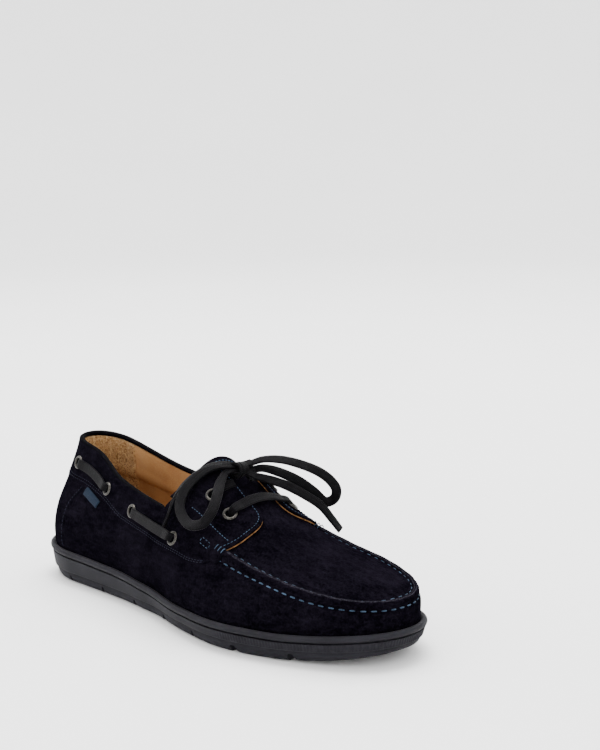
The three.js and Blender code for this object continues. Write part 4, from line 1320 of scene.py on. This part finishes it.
def make_square(side_name, side):
    """The square, and the four rows of stitches inside its edges."""
    u_from, u_to = (wall_place(x, 0.9, side) for x in (SQUARE_FROM, SQUARE_TO))
    wide, tall = u_to - u_from, SQUARE_HIGH - SQUARE_LOW
    u, v = np.meshgrid(u_from + wide * clustered(16, 0.05), SQUARE_LOW + tall * clustered(12, 0.07))
    normals = wall_normal(u, v)
    points = on_wall(u, v) + normals * flap_tail_lift(v)[..., None]
    name = f"corner_square_{side_name}"
    plate_piece(name, points, normals, -SQUARE_SUNK, SQUARE_THICK, navy_suede, "navy_suede")
    near, far = SQUARE_HEM, 1 - SQUARE_HEM
    corners = [(near, near), (far, near), (far, far), (near, far)]
    rows = []
    for (a, c), (b, d) in zip(corners, corners[1:] + corners[:1]):
        v = SQUARE_LOW + tall * np.linspace(c, d, 12)
        points, normals = wall_line(u_from + wide * np.linspace(a, b, 12), v)
        rows.append((points + normals * (flap_tail_lift(v) + 0.65)[:, None], normals))
    return rows


square_rows = [row for side_name, side in SIDES.items() for row in make_square(side_name, side)]
stitch_piece("stitches_squares", square_rows, blue_thread, pitch=2.2, length=1.6, radius=0.26)


def wrap_row(x, side):
    """The thread once over the moccasin seam."""
    u = np.full(14, float(top_place(x, side)))
    across, rise = seam_frame(u)
    turn = np.linspace(-0.05, 0.98, 14)[:, None] * math.pi
    out = across * WRAP_WIDE * np.cos(turn) + rise * WRAP_TALL * np.sin(turn)
    return top_point(u) - SEAM_SINK * rise + out, unit(out)


wrap_rows = [wrap_row(x, side) for x in WRAP_PLACES for side in SIDES.values()]
stitch_piece("stitches_wraps", wrap_rows, blue_thread, pitch=12.0, length=9.4, radius=0.30)

# ------------------------------------------------------------------ eyelets
# Two-part nickel eyelets, rolled over the suede: four a side in the collar strip and two in each flap.

EYELET_OUTER, EYELET_HOLE, EYELET_THICK, EYELET_SIDES = 4.2, 2.7, 1.0, 48
COLLAR_EYELETS = (("1", -113, 0.83), ("2", -73, 0.82), ("3", -40, 0.79), ("4", 8, 0.75))
FLAP_EYELETS = {
    "lateral": (("rear", 21.0, -0.58), ("front", 35.0, -0.57)),
    "medial": (("rear", 21.0, 0.68), ("front", 35.5, 0.70)),
}
# Ring section from the hole outward and back under: radius and height.
RING_SECTION = (
    (EYELET_HOLE, -0.6), (EYELET_HOLE, 0.3), (EYELET_HOLE + 0.12, 0.7), (EYELET_HOLE + 0.4, 0.97),
    (EYELET_HOLE + 0.75, 1.0), (EYELET_HOLE + 1.1, 0.84), (EYELET_OUTER - 0.12, 0.5), (EYELET_OUTER, 0.15),
    (EYELET_OUTER - 0.15, 0.0), (EYELET_HOLE + 0.4, -0.1), (EYELET_HOLE + 0.3, -0.6),
)

eyelet_nickel = textured_finish(
    "eyelet_nickel", {"wear": ("Noise", {"Scale": 900, "Detail": 4})}, {"wear": 1},
    ((0.3, (0.022, 0.021, 0.019)), (0.7, (0.075, 0.071, 0.064))), (("wear", 0.15, 0.0001),),
    rough=("wear", 0.22, 0.42), Metallic=1.0,
)
# Painted shadow: near-black matt discs that fill the eyelet holes, where only shade shows.
eyelet_shadow = textured_finish(
    "eyelet_shadow", {"shadow_mottle": ("Noise", {"Scale": 1200})}, {"shadow_mottle": 1},
    ((0.3, (0.0006, 0.0006, 0.0006)), (0.7, (0.0014, 0.0014, 0.0016))),
    Roughness=1.0, Specular_IOR_Level=0.0,
)


def make_eyelet(node, centre, normal):
    """An eyelet's ring. Gives the dark disc in its hole, a painted shadow for the shade inside the eyelet."""
    first = unit(np.cross((0.0, 0.0, 1.0), normal))
    turns = np.linspace(0, 2 * math.pi, EYELET_SIDES + 1)[:-1]
    wheel = np.cos(turns)[:, None] * first + np.sin(turns)[:, None] * np.cross(normal, first)
    rings = np.stack([centre + wheel * radius + normal * height for radius, height in RING_SECTION], 1)
    a = np.arange(EYELET_SIDES * len(RING_SECTION)).reshape(EYELET_SIDES, -1)
    b = np.roll(a, -1, axis=0)
    faces = np.stack([a, b, np.roll(b, -1, axis=1), np.roll(a, -1, axis=1)], -1).reshape(-1, 4).tolist()
    points, name = rings.reshape(-1, 3), node.replace("eyelet", "eyelet_ring")
    make_piece(name, points, outward(points, faces), eyelet_nickel, "eyelet_nickel", node)
    # The disc is a painted shadow set just inside the hole.
    disc = np.vstack([centre + wheel * (EYELET_HOLE + 0.05) + normal * height for height in (0.04, -0.3)])
    return disc, outward(disc, tube_faces(2, EYELET_SIDES))


holes, collar_places = [], {}
for side_name, side in SIDES.items():
    collar_places[side_name] = [(wall_place(x, up, side), up) for _, x, up in COLLAR_EYELETS]
    for (label, _, _), (u, v) in zip(COLLAR_EYELETS, collar_places[side_name]):
        centre, normal = wall_line(u, v, STRIP_THICK)
        holes.append(make_eyelet(f"eyelet_collar_{side_name}_{label}", centre, normal))
    for label, x, share in FLAP_EYELETS[side_name]:
        holes.append(make_eyelet(f"eyelet_flap_{side_name}_{label}", *on_flap(x, share)))
make_piece("eyelet_hole_shadows", *joined(holes), eyelet_shadow, "navy_suede")

# ------------------------------------------------------------------ lace: bars, crossing and strands
# The lace runs round the collar inside the strip and shows between pairs of eyelets. It crosses over the
# tongue between the front flap eyelets, and comes out of the rear ones to the knot.

LACE_CLEAR = 0.12
OVER_RING = EYELET_THICK + LACE_CLEAR + LACE_THICK / 2
BAR_LOW, CROSSING_LOW, STRAND_LOW = (LACE_THICK / 2 + over for over in (0.75, 0.3, 0.9))
STRAND_END = {"lateral": -0.22, "medial": 0.06}


def lift_profile(distance, low):
    """Height of the lace over the surface it lies on, at a distance from the eyelet's middle."""
    heights = (-1.2, 0.1, OVER_RING * 0.86, OVER_RING, OVER_RING * 0.95, low)
    return np.interp(distance, (0, 1.3, 2.6, 3.8, 5.5, 9.0), heights)


def laid(points, normals, low, open_end=False):
    """A ribbon over a surface from the hole at its start to the hole at its end, narrow in the holes."""
    run = run_along(points)
    nearest = run if open_end else np.minimum(run, run[-1] - run)
    centres = points + normals * lift_profile(nearest, low)[:, None]
    facing = [(s, tuple(n)) for s, n in zip((run / run[-1])[::4], normals[::4])] + [(1, tuple(normals[-1]))]
    hole = 3.2 / run[-1]
    pinch = [(0, 0.66), (hole, 0.86), (2.4 * hole, 1)]
    pinch += [(1, 0.86)] if open_end else [(1 - 2.4 * hole, 1), (1 - hole, 0.86), (1, 0.66)]
    return ribbon(centres, facing, pinch)


t = np.linspace(0, 1, 70)
for side_name, places in collar_places.items():
    for label, (first, last) in (("rear", places[:2]), ("front", places[2:])):
        u, v = (start + (end - start) * t for start, end in zip(first, last))
        bar = laid(*wall_line(u, v, STRIP_THICK), BAR_LOW)
        lace_piece(f"lace_bar_{side_name}_{label}_flat", [bar], f"lace_bar_{side_name}_{label}")

t = np.linspace(0, 1, 90)
(_, front_x, outer_share), (_, _, inner_share) = (FLAP_EYELETS[side_name][1] for side_name in SIDES)
crossing = laid(*on_flap(front_x, outer_share * (1 - t) + inner_share * t), CROSSING_LOW)
lace_piece("lace_crossing", [crossing], "lace_bar_front")

for side_name, end_share in STRAND_END.items():
    _, eyelet_x, eyelet_share = FLAP_EYELETS[side_name][0]
    x = eyelet_x + (KNOT_MIDDLE[0] - 0.5 - eyelet_x) * t
    strand = laid(*on_flap(x, eyelet_share + (end_share - eyelet_share) * t), STRAND_LOW, open_end=True)
    lace_piece(f"lace_strand_{side_name}_flat", [strand], f"lace_strand_{side_name}")

# ------------------------------------------------------------------ woven tab
# A blank folded ribbon label, blue-grey, sewn on under the collar strip at the outer heel.

TAB_X, TAB_V, TAB_LONG, TAB_TALL, TAB_THICK = -89.0, 0.62, 20.0, 5.6, 0.9
TAB_TILT, TAB_LIFT, TAB_BOW = math.radians(4.6), 0.3, 0.35
TAB_THREADS = 1600


def tab_finish():
    """Plain weave, matt."""
    material, tree, shader = new_finish("tab_weave", Roughness=0.8, Specular_IOR_Level=0.05)
    place = add_node(tree, "TexCoord").outputs["Object"]
    fine = add_node(tree, "Mapping", Vector=place, Scale=(TAB_THREADS,) * 3).outputs["Vector"]
    weft = add_node(tree, "TexWave", {"bands_direction": "Z"}, Vector=fine, Scale=0.9, Distortion=0.4)
    warp = add_node(tree, "TexWave", {"bands_direction": "X"}, Vector=fine, Scale=0.7, Distortion=0.4)
    height = arithmetic(tree, "ADD", weft.outputs["Fac"], warp.outputs["Fac"])
    tone = arithmetic(tree, "MULTIPLY", height, 0.5)
    colour = ramp(tree, tone, (0.2, (0.003, 0.005, 0.010)), (0.8, (0.014, 0.023, 0.040)))
    tree.links.new(colour, shader.inputs["Base Color"])
    bump(tree, shader, (height, 0.5, 0.00015))
    return material


def make_tab():
    middle = wall_place(TAB_X, TAB_V, -1)
    length = np.linalg.norm(wall_point(middle + 0.01, TAB_V) - wall_point(middle - 0.01, TAB_V)) / 0.02
    height = np.linalg.norm(wall_point(middle, TAB_V + 0.02) - wall_point(middle, TAB_V - 0.02)) / 0.04
    a, b = np.meshgrid(clustered(30, 0.03) - 0.5, clustered(12, 0.08) - 0.5, indexing="ij")
    ahead, up = a * TAB_LONG, b * TAB_TALL
    u = middle + (ahead * math.cos(TAB_TILT) + up * math.sin(TAB_TILT)) / length
    v = TAB_V + (up * math.cos(TAB_TILT) - ahead * math.sin(TAB_TILT)) / height
    points, normals = wall_line(u, v, TAB_LIFT + TAB_BOW * (1 - 4 * b * b))
    plate_piece("woven_tab_blank", points, normals, 0, TAB_THICK, tab_finish(), "tab_weave", "woven_tab")


make_tab()

# ------------------------------------------------------------------ stage
# A pale floor that sweeps up all round, under one broad soft light from above and a low fill.

FLOOR_REACH, FLOOR_RISE, WALL_HEIGHT, FLOOR_SIDES = 2.4, 1.2, 3.2, 96
# Place, point looked at, width and power of each light.
LIGHTS = {
    "key": ((-0.5, 0.5, 2.4), (0, 0, 0), 2.2, 135),
    "front_fill": ((1.6, -1.6, 1.5), (0, 0, 0.05), 1.6, 18),
}
SKY_STRENGTH = 2.2


def make_floor():
    profile = [(0.001, 0), (0.4, 0), (1.2, 0), (FLOOR_REACH, 0)]
    for turn in np.linspace(0, math.pi / 2, 13)[1:]:
        profile.append((FLOOR_REACH + FLOOR_RISE * math.sin(turn), FLOOR_RISE * (1 - math.cos(turn))))
    profile.append((FLOOR_REACH + FLOOR_RISE, WALL_HEIGHT))
    turns = np.linspace(0, 2 * math.pi, FLOOR_SIDES + 1)[:-1]
    points = [(r * math.cos(t), r * math.sin(t), z) for r, z in profile for t in turns]
    faces = tube_faces(len(profile), FLOOR_SIDES)[:-2] + [list(range(FLOOR_SIDES))]
    mesh = bpy.data.meshes.new("floor")
    mesh.from_pydata(points, [], faces)
    mesh.shade_smooth()
    mesh.materials.append(textured_finish(
        "floor_paint", {"mottle": ("Noise", {"Scale": 3, "Detail": 2})}, {"mottle": 1},
        ((0.3, (0.88, 0.88, 0.88)), (0.7, (0.90, 0.90, 0.90))), Roughness=0.9, Specular_IOR_Level=0.1,
    ))
    floor = bpy.data.objects.new("floor", mesh)
    bpy.context.scene.collection.objects.link(floor)


def add_light(name, at, towards, size, power):
    lamp = bpy.data.lights.new(name, "AREA")
    lamp.shape = "DISK"
    lamp.size = size
    lamp.energy = power
    light = bpy.data.objects.new(name, lamp)
    light.location = at
    light.rotation_euler = (Vector(at) - Vector(towards)).to_track_quat("Z", "Y").to_euler()
    bpy.context.scene.collection.objects.link(light)


make_floor()
for name, facts in LIGHTS.items():
    add_light(name, *facts)
world = bpy.data.worlds.new("studio")
world.use_nodes = True
world.node_tree.nodes["Background"].inputs["Color"].default_value = (1, 1, 1, 1)
world.node_tree.nodes["Background"].inputs["Strength"].default_value = SKY_STRENGTH
bpy.context.scene.world = world
